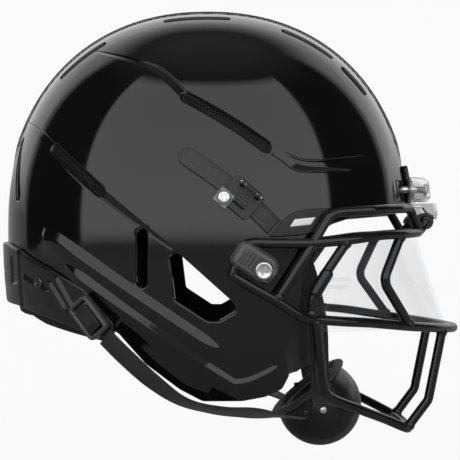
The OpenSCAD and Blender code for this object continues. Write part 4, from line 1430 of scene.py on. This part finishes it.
def mask_at(y, z, d=0.0):
    """Point of the mask's outline at half width y and level z, moved d outward in plan."""
    y, z = np.broadcast_arrays(np.asarray(y, float), np.asarray(z, float))
    fall = (MASK_TOP - z) / (MASK_TOP - MASK_MOUTH)
    reach = PIVOT_X + (MASK_NOSE_X - PIVOT_X) * fall + d
    n = 2.6 - 0.8 * fall
    return np.stack([reach * np.maximum(0, 1 - (np.abs(y) / (MASK_HALF + d)) ** n) ** (1 / n), y, z], -1)


def beside(x, z):
    return off(right_at(x, z), BAR_GAP)


TOP_BAR = [beside(44, -38), beside(62, -10), beside(77.2, 15.6), beside(84, 18), mask_at(-95, 19.5),
           mask_at(-88, 20.2), mask_at(-75, 21), mask_at(-58, 21.5), mask_at(-47.5, 5.8)]
EYE_BAR = [beside(17, -22), beside(21, -10), beside(27, -2.4), beside(42, -2), beside(64, -2),
           mask_at(-104, 0), mask_at(-92, 3), mask_at(-77, 4), mask_at(-58, 5), mask_at(-46, 6),
           (PIVOT_X - 1, -41.5, PIVOT_Z - 2)]
MID_BAR = [beside(17, -22), beside(30, -30), beside(44, -38), beside(58, -47), mask_at(-106, -51),
           mask_at(-98, -53), mask_at(-88, -54.5), mask_at(-67, -58), mask_at(-35, -61), mask_at(0, -62.5)]
SIDE_BAR = [mask_at(-106, -51), (74.4, -96, -78), (76.8, -89, -94), (82, -82, -104), (103, -66, -114),
            (122, -50, -122.5), (138.6, -36, -130.5), (141, 0, -131.5)]
CHIN_BAR = [mask_at(-36, -61), (153.4, -36, -110.8), (138.6, -36, -130.5)]
CHEVRON = [mask_at(-77, 4), mask_at(-88, -27), mask_at(-67, -58)]
CHEEK_BAR = [mask_at(-104, 0), mask_at(-108.5, -32), mask_at(-107, -50)]
PIVOT_BAR = [(PIVOT_X - 1, -41.5, PIVOT_Z - 2), (PIVOT_X, -40, PIVOT_Z), (PIVOT_X, -26, PIVOT_Z),
             (PIVOT_X, -20, PIVOT_Z - 2), (PIVOT_X, 0, PIVOT_Z - 4)]


def with_mirror(path):
    """A path to the middle plane, carried on to its mirror image."""
    p = np.asarray(path, float)
    return np.vstack([p, flip(p[:-1])[::-1]])


def weld(path, at):
    """Lumpy ring of weld where a bar's end meets another bar."""
    p = np.asarray(path, float)
    where, toward = (p[0], p[min(3, len(p) - 1)]) if at == 0 else (p[-1], p[max(-4, -len(p))])
    shape = ((0.7, -0.3), (1.25, 0.55), (1.18, 1.0), (1.06, 1.45), (0.9, 1.6))
    points, faces = lathe([(BAR_R * r, BAR_R * h) for r, h in shape], 20)
    wave = 1 + 0.035 * np.sin(np.arange(len(points)) * 2.4)
    points[:, :2] *= wave[:, None]
    return place_at(points, where, toward - where), faces


def face_mask():
    """Welded cage: bars that cross the middle plane, and bars that come in pairs with welded ends."""
    def bent(path, radius):
        return rounded(path, radius, closed=False, steps=8)

    top = resample(bent(TOP_BAR, 6.0), 2.0)
    side = resample(smooth(with_mirror(SIDE_BAR), 8), 2.0)
    build = Build().add_pair(tube(top, BAR_R, 18)).add_pair(weld(top, 0))
    build.add_pair(tube(resample(smooth(EYE_BAR, 8), 2.0), BAR_R, 18))
    build.add(tube(resample(smooth(with_mirror(MID_BAR), 8), 2.0), BAR_R, 18))
    build.add(tube(side, BAR_R, 18))
    for line in (bent(CHIN_BAR, 6.0), bent(CHEVRON, 9.0), smooth(CHEEK_BAR, 8)):
        line = resample(line, 2.0)
        build.add_pair(tube(line, BAR_R, 18))
        for at in (0, 1):
            build.add_pair(weld(line, at))
    build.add(tube(resample(smooth(with_mirror(PIVOT_BAR), 6), 1.6), BAR_R, 18))
    build.add_pair(weld(side, 0))
    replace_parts(build.piece("mask_cage", M["mask_wire"], "mask_wire", body="mask"), "face_mask")


face_mask()

# ---- visor -------------------------------------------------------------------------------
VISOR_INSET, VISOR_T = 7.0, 2.4
VISOR_LOW, VISOR_HIGH, VISOR_Y = -60.0, 1.0, 99.0


def visor():
    """Curved clear sheet with rounded ends and polished edges."""
    across = np.linspace(-1, 1, 121)
    up = np.concatenate([[0, 0.006, 0.02], np.linspace(0.06, 0.94, 20), [0.98, 0.994, 1]])
    outer, inner = [], []
    soft = 0.5 * ((up < 0.001) | (up > 0.999))
    for s in across:
        y = VISOR_Y * math.sin(math.pi / 2 * s)
        lift = float(fall_off((1 - abs(s)) * 60, 10.0))
        dip = 3.0 * math.exp(-(y / 16.0) ** 2)
        z = (VISOR_LOW + lift) + (VISOR_HIGH - 0.6 * lift - dip - VISOR_LOW - lift) * up
        outer.append([mask_at(y, zz, -VISOR_INSET + VISOR_T - o) for zz, o in zip(z, soft)])
        inner.append([mask_at(y, zz, -VISOR_INSET + o) for zz, o in zip(z, soft)])
    points = np.array(outer + inner).reshape(-1, 3)
    faces = grid_faces(len(across), len(up))
    obj = piece("visor_sheet", points, faces, M["visor_clear"], "visor_clear", body="mask")
    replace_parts(obj, "visor")


visor()


def visor_clips():
    """Sleeves on the cheek bars, each with two clear arms that reach the visor."""
    sleeve = resample(smooth([mask_at(-107.4, -22), mask_at(-108.0, -28), mask_at(-108.4, -34)], 4), 1.5)
    build = Build().add(tube(sleeve, BAR_R + 1.0, 20))
    both("visor_sleeve", build, M["mask_wire"], "mask_wire", body="mask")
    build = Build()
    for z in (-25.5, -30.5):
        arm = smooth([mask_at(-108.5, z), mask_at(-104, z, -1.0), mask_at(-98, z, -3.0)], 5)
        build.add(tube(resample(arm, 1.2), 1.3, 12))
    both("visor_clip", build, M["visor_clear"], "visor_clear", body="mask", nodes=["visor_clips"])


visor_clips()

# ---- clips between mask and shell --------------------------------------------------------
CLIP = right_at(32, -15)
CLIP_SPIN = -33.0
BUTTON_AT = np.array([5, -1.5, 0])
BUTTON_R, BUTTON_TRAVEL = 5.6, 2.0


def on_clip(points):
    return seat(points, CLIP, 0.7, CLIP_SPIN)


def on_button(points):
    return on_clip(np.asarray(points) + BUTTON_AT)


def side_clips():
    """Clear moulded clip with ribs inside, and the round quick-release button in its bore."""
    rings = []
    for inset, z in ((0.6, 0.0), (0, 0.6), (0, 6.6), (0.5, 8.8), (1.6, 10.2), (3.2, 10.9), (4.4, 11.0)):
        back, front, half = inset - 16.5, 14.0 - inset, 9.5 - inset
        outline = rounded([(front, -half), (front, half), (back, half), (back, -half)],
                          [8.6 - inset, 8.6 - inset, 5.8 - inset, 5.8 - inset], steps=8)
        rings.append(np.column_stack([outline, np.full(len(outline), z)]))
    body = Build().add(loft(rings), on_clip)
    bores = (lathe([(BUTTON_R + 0.25, 5.8), (BUTTON_R + 0.25, 14)], 48), lathe([(3.5, -6), (3.5, 8)], 32))
    made = both("side_clip_clear", body, M["clip_tint"], "clear_plastic", body="mask", nodes=["side_clip_{}"])
    for obj, side in zip(made, (RIGHT, LEFT)):
        for points, faces in bores:
            cut(obj, on_button(points), faces, side)
        bevel(obj, 0.25, 2, 40)
    ribs = Build()
    for k in range(5):
        rib = rectangle(0.9, 13.4 - abs(k - 2) * 0.8, 0.4, centre=(-13.0 + 2.5 * k, 0))
        ribs.add(slab(rib, 2.0, 9.2), on_clip)
    for y in (-6.4, 6.4):
        ribs.add(slab(rectangle(26, 0.9, 0.4, centre=(-1, y)), 2.0, 9.6), on_clip)
    both("side_clip_ribs", ribs, M["steel_dark"], "clear_plastic", body="mask", edge=0.2)
    base = 6 + BUTTON_TRAVEL + 0.2
    profile = [(3.2, 1.8), (3.2, base - 0.2), (BUTTON_R - 0.4, base), (BUTTON_R, base + 0.4),
               (BUTTON_R, base + 2.6), (BUTTON_R - 0.3, base + 3.15), (BUTTON_R - 1.0, base + 3.4),
               (BUTTON_R - 1.6, base + 3.2), (BUTTON_R - 3.4, base + 3.05), (0.4, base + 3.0)]
    knob = Build().add(lathe(profile, 56), on_button)
    cross = []
    points, faces = slab(rectangle(7.0, 1.25, 0.5, steps=3), base + 2.1, base + 6)
    for turn in (12, 102):
        spin = np.array(Matrix.Rotation(math.radians(turn), 3, "Z"))
        cross.append(on_button(points @ spin.T))
    made = both("release_knob", knob, M["steel"], "steel", body=("release_button_", ""),
                nodes=["release_button_{}"])
    for obj, side in zip(made, (RIGHT, LEFT)):
        for points in cross:
            cut(obj, points, faces, side)
        bevel(obj, 0.15, 2, 40)


side_clips()
CLIP_Y, CLIP_HALF, SEAT_X = 33.0, 6.0, 139.4
HOOK_HALF = CLIP_HALF - 1.0


def toward_front(x):
    """Function that turns local points to face forward at the clip's screw."""
    return lambda points: place_at(points, (SEAT_X + x, -CLIP_Y, 35.0), (1, 0, 0))


def front_clip_blocks():
    """Clear screw-down blocks and their chrome screws and washers."""
    profile = rounded([(0.3, 26.6), (12.6, 26.4), (15.2, 29.5), (14.2, 40.0), (10.5, 43.2), (1.4, 43.6),
                       (0.0, 41.5)], 1.3, steps=4)
    centre = profile.mean(axis=0)
    rings = []
    for y, inset in ((-CLIP_HALF, 0.7), (-CLIP_HALF + 0.7, 0), (CLIP_HALF - 0.7, 0), (CLIP_HALF, 0.7)):
        shrunk = centre + (profile - centre) * (1 - inset / 8)
        rings.append(np.insert(shrunk + (SEAT_X, 0), 1, y - CLIP_Y, axis=1))
    bores = (lathe([(5.0, 12.2), (5.0, 22)], 40), lathe([(2.6, -4), (2.6, 16)], 24))
    made = both("front_clip_clear", Build().add(loft(rings)), M["clear_plastic"], "clear_plastic",
                nodes=["front_clip_bodies"])
    for obj, side in zip(made, (RIGHT, LEFT)):
        for points, faces in bores:
            cut(obj, toward_front(0)(points), faces, side)
    bolt = Build().add(screw(4.7, 2.6), toward_front(12.3))
    bolt.add(lathe([(2.2, -20), (2.4, -19.6), (2.4, 0.4), (2.2, 0.5)], 28), toward_front(12.3))
    bolt.add(lathe([(3.4, 0.0), (4.4, 0.1), (4.4, 1.1), (3.4, 1.2)], 40), toward_front(1.6))
    both("front_clip_screw", bolt, M["steel"], "steel", nodes=["front_clip_screws"])


def front_clip_hooks():
    """Black hooks round the mask's pivot bar, each held by a clear arm."""
    inner, outer = BAR_R + 0.12, BAR_R + 2.6
    arc = np.radians(np.linspace(-112, 188, 44))
    section = np.array([(outer * math.cos(a), outer * math.sin(a)) for a in arc]
                       + [(inner * math.cos(a), inner * math.sin(a)) for a in arc[::-1]])
    far = np.linalg.norm(section, axis=1, keepdims=True)
    pivot = (PIVOT_X, PIVOT_Z)
    rings = []
    for y, inset in ((-HOOK_HALF, 0.35), (-HOOK_HALF + 0.35, 0), (HOOK_HALF - 0.35, 0), (HOOK_HALF, 0.35)):
        shift = np.where(far > (inner + outer) / 2, -inset, inset)
        rings.append(np.insert(section * (far + shift) / far + pivot, 1, y - CLIP_Y, axis=1))
    both("front_clip_hook", Build().add(loft(rings)), M["rubber_dark"], "cam_plastic",
         nodes=["front_clip_hooks"], edge=0.3)
    stem = rounded([(1.0, 6.0), (5.0, 4.6), (6.2, 1.6), (7.8, 1.2), (8.6, 5.0), (7.4, 12.6), (-11.2, 12.6),
                    (-11.2, 9.6), (-1.0, 9.2)], 0.9, steps=4)
    arm = prism(stem + pivot, [y - CLIP_Y for y in (0.1 - HOOK_HALF, HOOK_HALF - 0.1)])
    both("front_clip_arm", Build().add(arm), M["clear_plastic"], "clear_plastic", edge=0.3)


front_clip_blocks()
front_clip_hooks()


# ---- chin cup and straps -----------------------------------------------------------------
CUP = np.array([80.0, 0.0, -117.0])
CUP_R, CUP_HALF, CUP_WALL = 30.0, 43.0, 2.6
CUP_TILT = math.radians(-38)
CUP_LIP = CUP + [-8.0, 0.0, 8.0]


CUP_RADII = np.array([CUP_R, CUP_HALF, CUP_R])
CUP_UP = np.array([math.sin(CUP_TILT), 0, math.cos(CUP_TILT)])      # square to the bowl's opening
CUP_FORE = np.array([math.cos(CUP_TILT), 0, -math.sin(CUP_TILT)])


def reach_bowl(start, direction, shrink=0.0):
    """Where a line from inside the bowl meets the egg that is smaller than the bowl by shrink."""
    r = CUP_RADII - shrink
    p, d = (start - CUP) / r, direction / r
    b, c, k = p @ d, p @ p - 1, d @ d
    return start + direction * ((-b + math.sqrt(b * b - k * c)) / k)


def bowl_normal(v):
    return unit(v / CUP_RADII ** 2)


def around(angle):
    """Direction in the plane of the bowl's opening."""
    return math.cos(angle) * CUP_FORE + math.sin(angle) * np.array([0, 1, 0])


def cup_shell(name, shrink_out, shrink_in, lift, material, lip, ridge=None):
    """Bowl between two egg-shaped surfaces, cut off by a plane and with a rolled lip."""
    start = CUP_LIP + lift * CUP_UP
    depths = math.pi / 2 * np.minimum(np.linspace(1, 0, 30) ** 1.15, 0.995)
    angles = np.arange(96) * 2 * math.pi / 96
    rings = []
    for shrink, turns in ((shrink_out, depths), (shrink_in, depths[::-1])):
        for t in turns:
            rings.append([reach_bowl(start, math.cos(t) * around(a) - math.sin(t) * CUP_UP, shrink)
                          for a in angles])
    if ridge:
        rings[:30] = [[p + ridge(p) for p in ring] for ring in rings[:30]]
    points, faces = loft(rings)
    return bevel(piece(name, points, faces, M[material], material, body="chin"), lip, 3, 50)


def cup_lip():
    """Soft roll of foam that wraps the bowl's rim and shows at its two ends."""
    turns = np.linspace(0, 2 * math.pi, 121)[:-1]
    path = np.array([reach_bowl(CUP_LIP, around(a)) + 2.6 * CUP_UP for a in turns])
    run = unit(np.roll(path, -1, axis=0) - np.roll(path, 1, axis=0))
    side = np.cross(run, CUP_UP)
    rings = [path + 4.2 * math.cos(t) * side + 2.5 * math.sin(t) * CUP_UP
             for t in np.linspace(0, 2 * math.pi, 17)]
    points, faces = loft(rings, cap=False)
    kept = len(points) - len(path)
    faces = [tuple(i % kept for i in f) for f in faces]
    return piece("chin_cup_lip", points[:kept], faces, M["cup_foam"], "cup_foam", body="chin")


def cup_ridge(p):
    """Raised arc and vent channels on the sides of the hard cup."""
    v = np.asarray(p) - CUP
    flat = math.hypot(v[0], v[2])
    angle = math.degrees(math.atan2(v[2], v[0]))
    arc = math.exp(-((flat - 21.5) / 1.0) ** 2) * float(ramp(-angle, 8, 22) * (1 - ramp(-angle, 105, 125)))
    rim = math.exp(-((flat - 13.0) / 0.7) ** 2) * float(ramp(abs(v[1]), 20, 28)) * 0.5
    groove = math.exp(-(v[1] / 1.6) ** 2) * -0.7
    return bowl_normal(v) * (0.8 * arc - rim + groove)


def cup_side(x, z):
    """From the bowl's middle to its right side at side-view place (x, z)."""
    return np.array([x, -CUP_HALF * math.sqrt(1 - (x * x + z * z) / CUP_R ** 2), z])


def chin_rivets():
    """Bright centre rivets, dark studs, and the T-shaped strap keepers on both sides of the cup."""
    bright, dark = Build(), Build()
    shape = ((0.9, 0.1), (1, 0.4), (0.94, 0.9), (0.7, 1.25), (0.3, 1.4))
    for x, z, r, build in ((0, 0, 2.6, bright), (-12, -2, 2.0, dark), (4, 16, 2.2, dark)):
        v = cup_side(x, z)
        profile = [(r * k, h) for k, h in shape] + [(0.2, 1.42)]
        points, faces = lathe(profile, 32)
        build.add((place_at(points, CUP + v, bowl_normal(v)), faces))
    both("chin_rivet", bright, M["steel"], "steel", body="chin", nodes=["chin_rivets"])
    both("chin_stud", dark, M["steel_dark"], "steel", body="chin", nodes=["chin_rivets"])
    plates = Build()
    for z0, z1, w, x in ((-6.0, 6.0, 4.4, -10.6), (5.4, 10.6, 13.0, -9.4)):
        feet = [cup_side(x + s, z) for s in np.linspace(-w / 2, w / 2, 6) for z in np.linspace(z0, z1, 12)]
        plates.add(([CUP + v + level * bowl_normal(v) for level in (1.0, -0.4) for v in feet],
                    grid_faces(6, 12)))
    both("chin_keeper", plates, M["rubber_dark"], "cup_plastic", body="chin", edge=0.25)


UPPER_STRAP = [(61, -102, -8), (68, -98, -30), (73, -91, -55), (74.5, -83, -80), (77, -66, -100),
               (79, -48, -111)]
UPPER_FACE = [(0.4, -0.9, 0), (0.4, -0.9, 0), (0.3, -0.95, -0.1), (0.2, -0.9, -0.4), (0, -0.75, -0.65),
              (0, -0.9, -0.4)]
LOWER_STRAP = [(-64, -108.5, -62), (-51, -112, -74.5), (-33.5, -112, -90), (-14, -111, -103), (8, -107, -109),
               (28, -95, -112), (47, -74, -117), (62, -50, -121)]
LOWER_FACE = [(-0.3, -0.9, -0.3), (-0.2, -0.9, -0.4), (-0.1, -0.8, -0.6), (0, -0.5, -0.85), (0.2, -0.4, -0.9),
              (0.2, -0.5, -0.8), (-0.4, -0.7, -0.5), (-0.5, -0.8, -0.2)]


def strap(name, path, face):
    """Webbing with hemmed edges, bending between shell and cup."""
    p, n = smooth(path, 10), unit(smooth(face, 10))
    build = Build().add(band(p, n, 13.0, 1.25, 0.5))
    run = unit(np.gradient(p, axis=0))
    across = unit(np.cross(n, run))
    for side in (-1, 1):
        build.add(tube(p + across * side * 5.3 + n * 1.22, 0.32, 6))
    for side, tag in ((RIGHT, "right"), (LEFT, "left")):
        obj = build.piece(f"{name}_web_{tag}", M["strap_web"], "strap_web", body=None, side=side)
        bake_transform(obj)
        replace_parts(obj, f"{name}_strap_{tag}")


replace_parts(cup_shell("chin_cup_hard", 0.0, CUP_WALL, 0.0, "cup_plastic", 0.8, cup_ridge), "chin_cup")
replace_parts(cup_shell("chin_cup_foam", CUP_WALL + 0.2, CUP_WALL + 7.0, 1.0, "cup_foam", 2.4), "chin_pad")
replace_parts(cup_lip(), "chin_pad")
chin_rivets()
strap("upper", UPPER_STRAP, UPPER_FACE)
strap("lower", LOWER_STRAP, LOWER_FACE)


# ---- liner pads --------------------------------------------------------------------------
PAD_T, PAD_GAP = 18.0, 1.2
SWELL_CAP = 5.0              # how far the cloth may move
PULL_IN = 3.2                # how much smaller than the finished pad the cloth starts
VOXEL = 4.6
SEAM_WIDTH, SEAM_DEPTH = 2.6, 4.0
DEGREE_INSIDE = 2.2          # millimetres for each degree of compass angle at the pads
CROWN_RING = 19
CLOTH = {"quality": 4, "mass": 0.2, "tension_stiffness": 12, "compression_stiffness": 12,
         "bending_stiffness": 0.4, "use_pressure": True, "uniform_pressure_force": 4.0}


def lattice(outer, inner):
    """Closed form between two grids of equal size, its faces turned outward."""
    points = np.array([outer, inner], float).reshape(-1, 3)
    faces = grid_faces(*np.shape(outer)[:2])
    v = points[np.array(faces)] - points.mean(axis=0)
    volume = sum((v[:, 0] * np.cross(v[:, k], v[:, k + 1])).sum() for k in (1, 2))
    return points, faces if volume > 0 else reverse(faces)


def under_shell(p):
    """The place on the shell above each point, its normal, and how deep the point lies."""
    v = np.asarray(p, float) - [0, 0, BELT]
    size = (share(v[:, 0], A) + share(v[:, 1], B) + share(v[:, 2], drop(v[:, 2] + BELT))) ** (1 / N)
    q = v / size[:, None] + [0, 0, BELT]
    n = outward(q)
    return q, n, ((q - p) * n).sum(-1)


def points_of(mesh):
    return np.array([v.co[:] for v in mesh.vertices]) / MM


def swell(obj, shallow, deep):
    """Fills a remeshed pad like a cushion and keeps it between two depths under the shell."""
    before = points_of(obj.data)
    cloth = obj.modifiers.new("Cloth", "CLOTH")
    for key, value in CLOTH.items():
        setattr(cloth.settings, key, value)
    cloth.settings.effector_weights.gravity = 0
    cloth.collision_settings.use_collision = False
    cloth.point_cache.frame_start, cloth.point_cache.frame_end = 1, 20
    for f in range(1, 21):
        bpy.context.scene.frame_set(f)
    apply_modifiers(obj)
    bpy.context.scene.frame_set(1)
    move = points_of(obj.data) - before
    far = np.linalg.norm(move, axis=1, keepdims=True)
    p = before + move * np.minimum(1, SWELL_CAP / np.maximum(far, 1e-6))
    n, depth = under_shell(p)[1:]
    return p + n * (depth - np.clip(depth, shallow, deep))[:, None]


def soft_pad(name, outer, inner, shallow, deep, channels, nodes, mirrored=None):
    """A cushion: remesh, swell, press the sewn channels in, then smooth."""
    obj = piece(name, *lattice(outer, inner), M["pad_vinyl"], "pad_vinyl", body=None)
    remesh = obj.modifiers.new("Remesh", "REMESH")
    remesh.mode = "VOXEL"
    remesh.voxel_size = VOXEL * MM
    apply_modifiers(obj)
    obj.modifiers.new("Soften", "SMOOTH").iterations = 3
    apply_modifiers(obj)
    p = swell(obj, shallow, deep)
    q, n, depth = under_shell(p)
    p = p + n * (channels(q) * ramp(depth, (shallow + deep) / 2, deep - 2))[:, None]
    obj.data.vertices.foreach_set("co", (p * MM).ravel())
    fine = obj.modifiers.new("Fine", "SUBSURF")
    fine.levels = fine.render_levels = 1
    apply_modifiers(obj)
    obj.data.polygons.foreach_set("use_smooth", [True] * len(obj.data.polygons))
    if not obj.data.materials:
        obj.data.materials.append(M["pad_vinyl"])
    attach(obj, "shell")
    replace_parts(obj, nodes[0])
    if mirrored:
        left = obj.data.copy()
        left.transform(Matrix.Scale(-1, 4, (0, 1, 0)))
        left.flip_normals()
        twin = bpy.data.objects.new(mirrored, left)
        bpy.context.scene.collection.objects.link(twin)
        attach(twin, "shell")
        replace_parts(twin, nodes[1])


def seam(distance):
    """Share of a sewn channel's depth at a distance from its middle."""
    return np.exp(-(distance / SEAM_WIDTH) ** 2)


def sewn(angles, levels):
    """Sewn channels at compass angles and at levels."""
    def press(q):
        a = np.degrees(np.arctan2(q[:, 1], q[:, 0]))
        lines = [seam(((a - line + 180) % 360 - 180) * DEGREE_INSIDE) for line in angles]
        lines += [seam(q[:, 2] - line) for line in levels]
        return SEAM_DEPTH * np.max(lines, axis=0)
    return press


def crown_channels(q):
    """A ring sewn round the crown, and a cross outside it."""
    r = np.hypot(q[:, 0] / 1.2, q[:, 1])
    cross = np.minimum(1, seam(q[:, 0]) + seam(q[:, 1]))
    return SEAM_DEPTH * np.maximum(seam(r - CROWN_RING), cross * (r > CROWN_RING))


def jaw_channels(q):
    return 3.0 * seam(q[:, 2] + 66 + 0.25 * (q[:, 0] - 50))


SHALLOW, DEEP = WALL + PAD_GAP + 0.3, WALL + PAD_GAP + PAD_T + 1.5


def mesh_of(a, b, na, nb):
    """Grid of na by nb values over two ranges."""
    return np.meshgrid(np.linspace(*a, na), np.linspace(*b, nb), indexing="ij")


def liner_pad(name, q, channels, nodes, mirrored=None):
    """A pad of the usual thickness under a grid of shell points."""
    grids = [off(q, d) for d in (-SHALLOW - PULL_IN, -DEEP + PULL_IN)]
    soft_pad(name, *grids, SHALLOW, DEEP, channels, nodes, mirrored)


def wall_pad(name, a, z, channels, *more):
    """A pad between two compass angles and two levels."""
    turn = PULL_IN / DEGREE_INSIDE
    q = compass_at(*mesh_of((a[0] + turn, a[1] - turn), (z[0] + PULL_IN, z[1] - PULL_IN), 24, 14))
    liner_pad(name, q, channels, *more)


def jaw_pads():
    """Pads that fill the space beside the jaw, thicker than the rest."""
    outer, inner = [], []
    for x in np.linspace(26 + PULL_IN * 0.8, 84 - PULL_IN * 0.6, 22):
        top = np.interp(x, [26, 40, 56, 66, 74, 80, 84], [-44, -30, -16, -18, -32, -48, -78])
        low = np.interp(x, [26, 60, 84], [-98, -97, -91])
        hide = np.interp(x, [50, 64, 84], [0, 9, 13])
        q = right_at(x, np.linspace(low + PULL_IN * 0.7, top - PULL_IN * 0.7, 24))
        outer.append(off(q, -WALL - PAD_GAP - PULL_IN * 0.6 - hide))
        inner.append(off(q, -31 + PULL_IN * 0.6))
    soft_pad("jaw_cushion_right", outer, inner, WALL + PAD_GAP + 0.2, 31.5, jaw_channels,
             ["jaw_pad_right", "jaw_pad_left"], "jaw_cushion_left")


wall_pad("brow_cushion", (-36, 36), (13, 100), sewn((-13, 13), (66,)), ["front_pad"])
wall_pad("back_cushion", (122, 238), (-30, 92), sewn((151, 180, 209), (10, 50)), ["back_pad"])
wall_pad("side_cushion_right", (-116, -42), (16, 98), sewn((258, 282, 305), (56,)),
         ["side_pad_right", "side_pad_left"], "side_cushion_left")
crown = mesh_of((PULL_IN - 56, 56 - PULL_IN), (PULL_IN - 45, 45 - PULL_IN), 26, 22)
liner_pad("crown_cushion", crown_at(*crown), crown_channels, ["crown_pad"])
jaw_pads()


# ---- CAD nodes that stay, with their finishes --------------------------------------------
def dress(node, material):
    """Gives a carried-over CAD node its procedural material."""
    mesh = frame["nodes"][node].data
    mesh.materials.clear()
    mesh.materials.append(M[material])


for node in ("cam_pins", "buckle_pins"):
    dress(node, "steel")
for node in ("clip_receptacles", "jaw_pad_snaps"):
    dress(node, "cam_plastic")
# ---- floor, light and camera -------------------------------------------------------------
FLOOR_Z = CAD_BOX[0][2] - 0.012
SWEEP = [(-4.0, 0.0), (1.2, 0.0), (1.8, 0.12), (2.15, 0.5), (2.3, 1.2), (2.3, 3.0)]


def floor():
    """Pale paper that sweeps up into a lit wall behind."""
    rows = [[(x, y, FLOOR_Z + max(0, z)) for x in (-4.0, 4.0)] for y, z in smooth(SWEEP, 8)]
    mesh = bpy.data.meshes.new("floor")
    faces = [(2 * i, 2 * i + 1, 2 * i + 3, 2 * i + 2) for i in range(len(rows) - 1)]
    mesh.from_pydata([p for r in rows for p in r], [], faces)
    mesh.polygons.foreach_set("use_smooth", [True] * len(faces))
    obj = bpy.data.objects.new("floor", mesh)
    bpy.context.scene.collection.objects.link(obj)
    s = Shader("floor_white")
    s.tree.nodes.remove(s.surface)
    paper = s.add("ShaderNodeBsdfDiffuse")
    s.put(paper.inputs["Color"], s.blend(s.noise(300), (0.38, 0.38, 0.38), (0.42, 0.42, 0.42)))
    glow = s.add("ShaderNodeEmission")
    spot = s.add("ShaderNodeSeparateXYZ")
    s.join(s.place, spot.inputs[0])
    wall = s.spread(spot.outputs["Z"], 0.0, 1.0, 150.0, 700.0)
    seen = s.maths("MULTIPLY", s.add("ShaderNodeLightPath").outputs["Is Camera Ray"], 0.94)
    mix = s.add("ShaderNodeMixShader")
    s.join(s.maths("MAXIMUM", seen, wall), mix.inputs[0])
    s.join(paper.outputs[0], mix.inputs[1])
    s.join(glow.outputs[0], mix.inputs[2])
    s.join(mix.outputs[0], s.out.inputs[0])
    mesh.materials.append(s.mat)


def surroundings():
    """White to the camera; to the helmet, one big soft card on the camera's side of a dim room."""
    world = bpy.data.worlds.new("studio")
    bpy.context.scene.world = world
    world.use_nodes = True
    w = Nodes(world.node_tree)
    way = w.add("ShaderNodeSeparateXYZ")
    w.join(w.add("ShaderNodeTexCoord").outputs["Generated"], way.inputs[0])
    turn = w.maths("ARCTAN2", way.outputs["X"], w.maths("MULTIPLY", way.outputs["Y"], -1.0))
    rise = w.maths("ARCSINE", way.outputs["Z"])

    def beyond(angle, start, end):
        return w.spread(angle, 0.0, 1.0, math.radians(start), math.radians(end))

    def less(angle, start, end):
        return w.spread(angle, 1.0, 0.0, math.radians(start), math.radians(end))

    card = w.maths("MULTIPLY", beyond(turn, -61, -59), less(turn, 57, 59))
    card = w.maths("MULTIPLY", card, w.maths("MULTIPLY", beyond(rise, -3, 0), less(rise, 60, 65)))
    shade = w.spread(rise, 1.0, 0.82, 0.0, math.radians(60))
    card = w.maths("MULTIPLY", card, shade)
    behind = w.maths("MULTIPLY", beyond(w.maths("ABSOLUTE", turn), 112, 122), less(rise, 50, 66))
    sky = w.maths("MULTIPLY", beyond(rise, 55, 80), 0.2)
    light = w.maths("MULTIPLY_ADD", card, CARD)
    light.node.inputs[2].default_value = 0.03
    light = w.maths("ADD", light, w.maths("ADD", behind, sky))
    back = w.add("ShaderNodeBackground")
    rays = w.add("ShaderNodeLightPath").outputs["Is Camera Ray"]
    w.join(w.maths("MAXIMUM", rays, light), back.inputs["Strength"])
    w.join(back.outputs[0], w.add("ShaderNodeOutputWorld").inputs[0])


def lamp(name, place, target, size, watts):
    """Soft light that adds shading but never shows as a reflection."""
    data = bpy.data.lights.new(name, "AREA")
    data.shape = "RECTANGLE"
    data.size, data.size_y = size
    data.energy = watts
    obj = bpy.data.objects.new(name, data)
    obj.location = place
    obj.rotation_euler = (Vector(target) - Vector(place)).to_track_quat("-Z", "Y").to_euler()
    obj.visible_glossy = False
    bpy.context.scene.collection.objects.link(obj)


def camera():
    data = bpy.data.cameras.new("camera")
    data.lens_unit = "FOV"
    data.angle = 2 * math.atan(FIELD / 2)
    data.shift_x, data.shift_y = AIM
    data.clip_start, data.clip_end = 0.05, 20
    eye = bpy.data.objects.new("camera", data)
    eye.location = CAMERA_AT
    eye.rotation_euler = (math.radians(90), 0, 0)
    bpy.context.scene.collection.objects.link(eye)
    bpy.context.scene.camera = eye


CARD = 1.85                  # brightness of the card next to the white background
CAMERA_AT = (0.0144, -1.0, 0.0)
FIELD = 0.3312               # width of view for each metre of distance
AIM = (2 / 460, 10 / 460)    # how far the picture's middle sits from the point the camera faces
floor()
surroundings()
lamp("key", (-1.2, -1.3, 1.7), (0, 0, 0.03), (0.8, 0.8), 9)
lamp("fill", (1.5, -0.9, 0.7), (0.1, 0, 0), (0.8, 0.8), 4)
camera()
bpy.context.scene.view_settings.view_transform = "Standard"
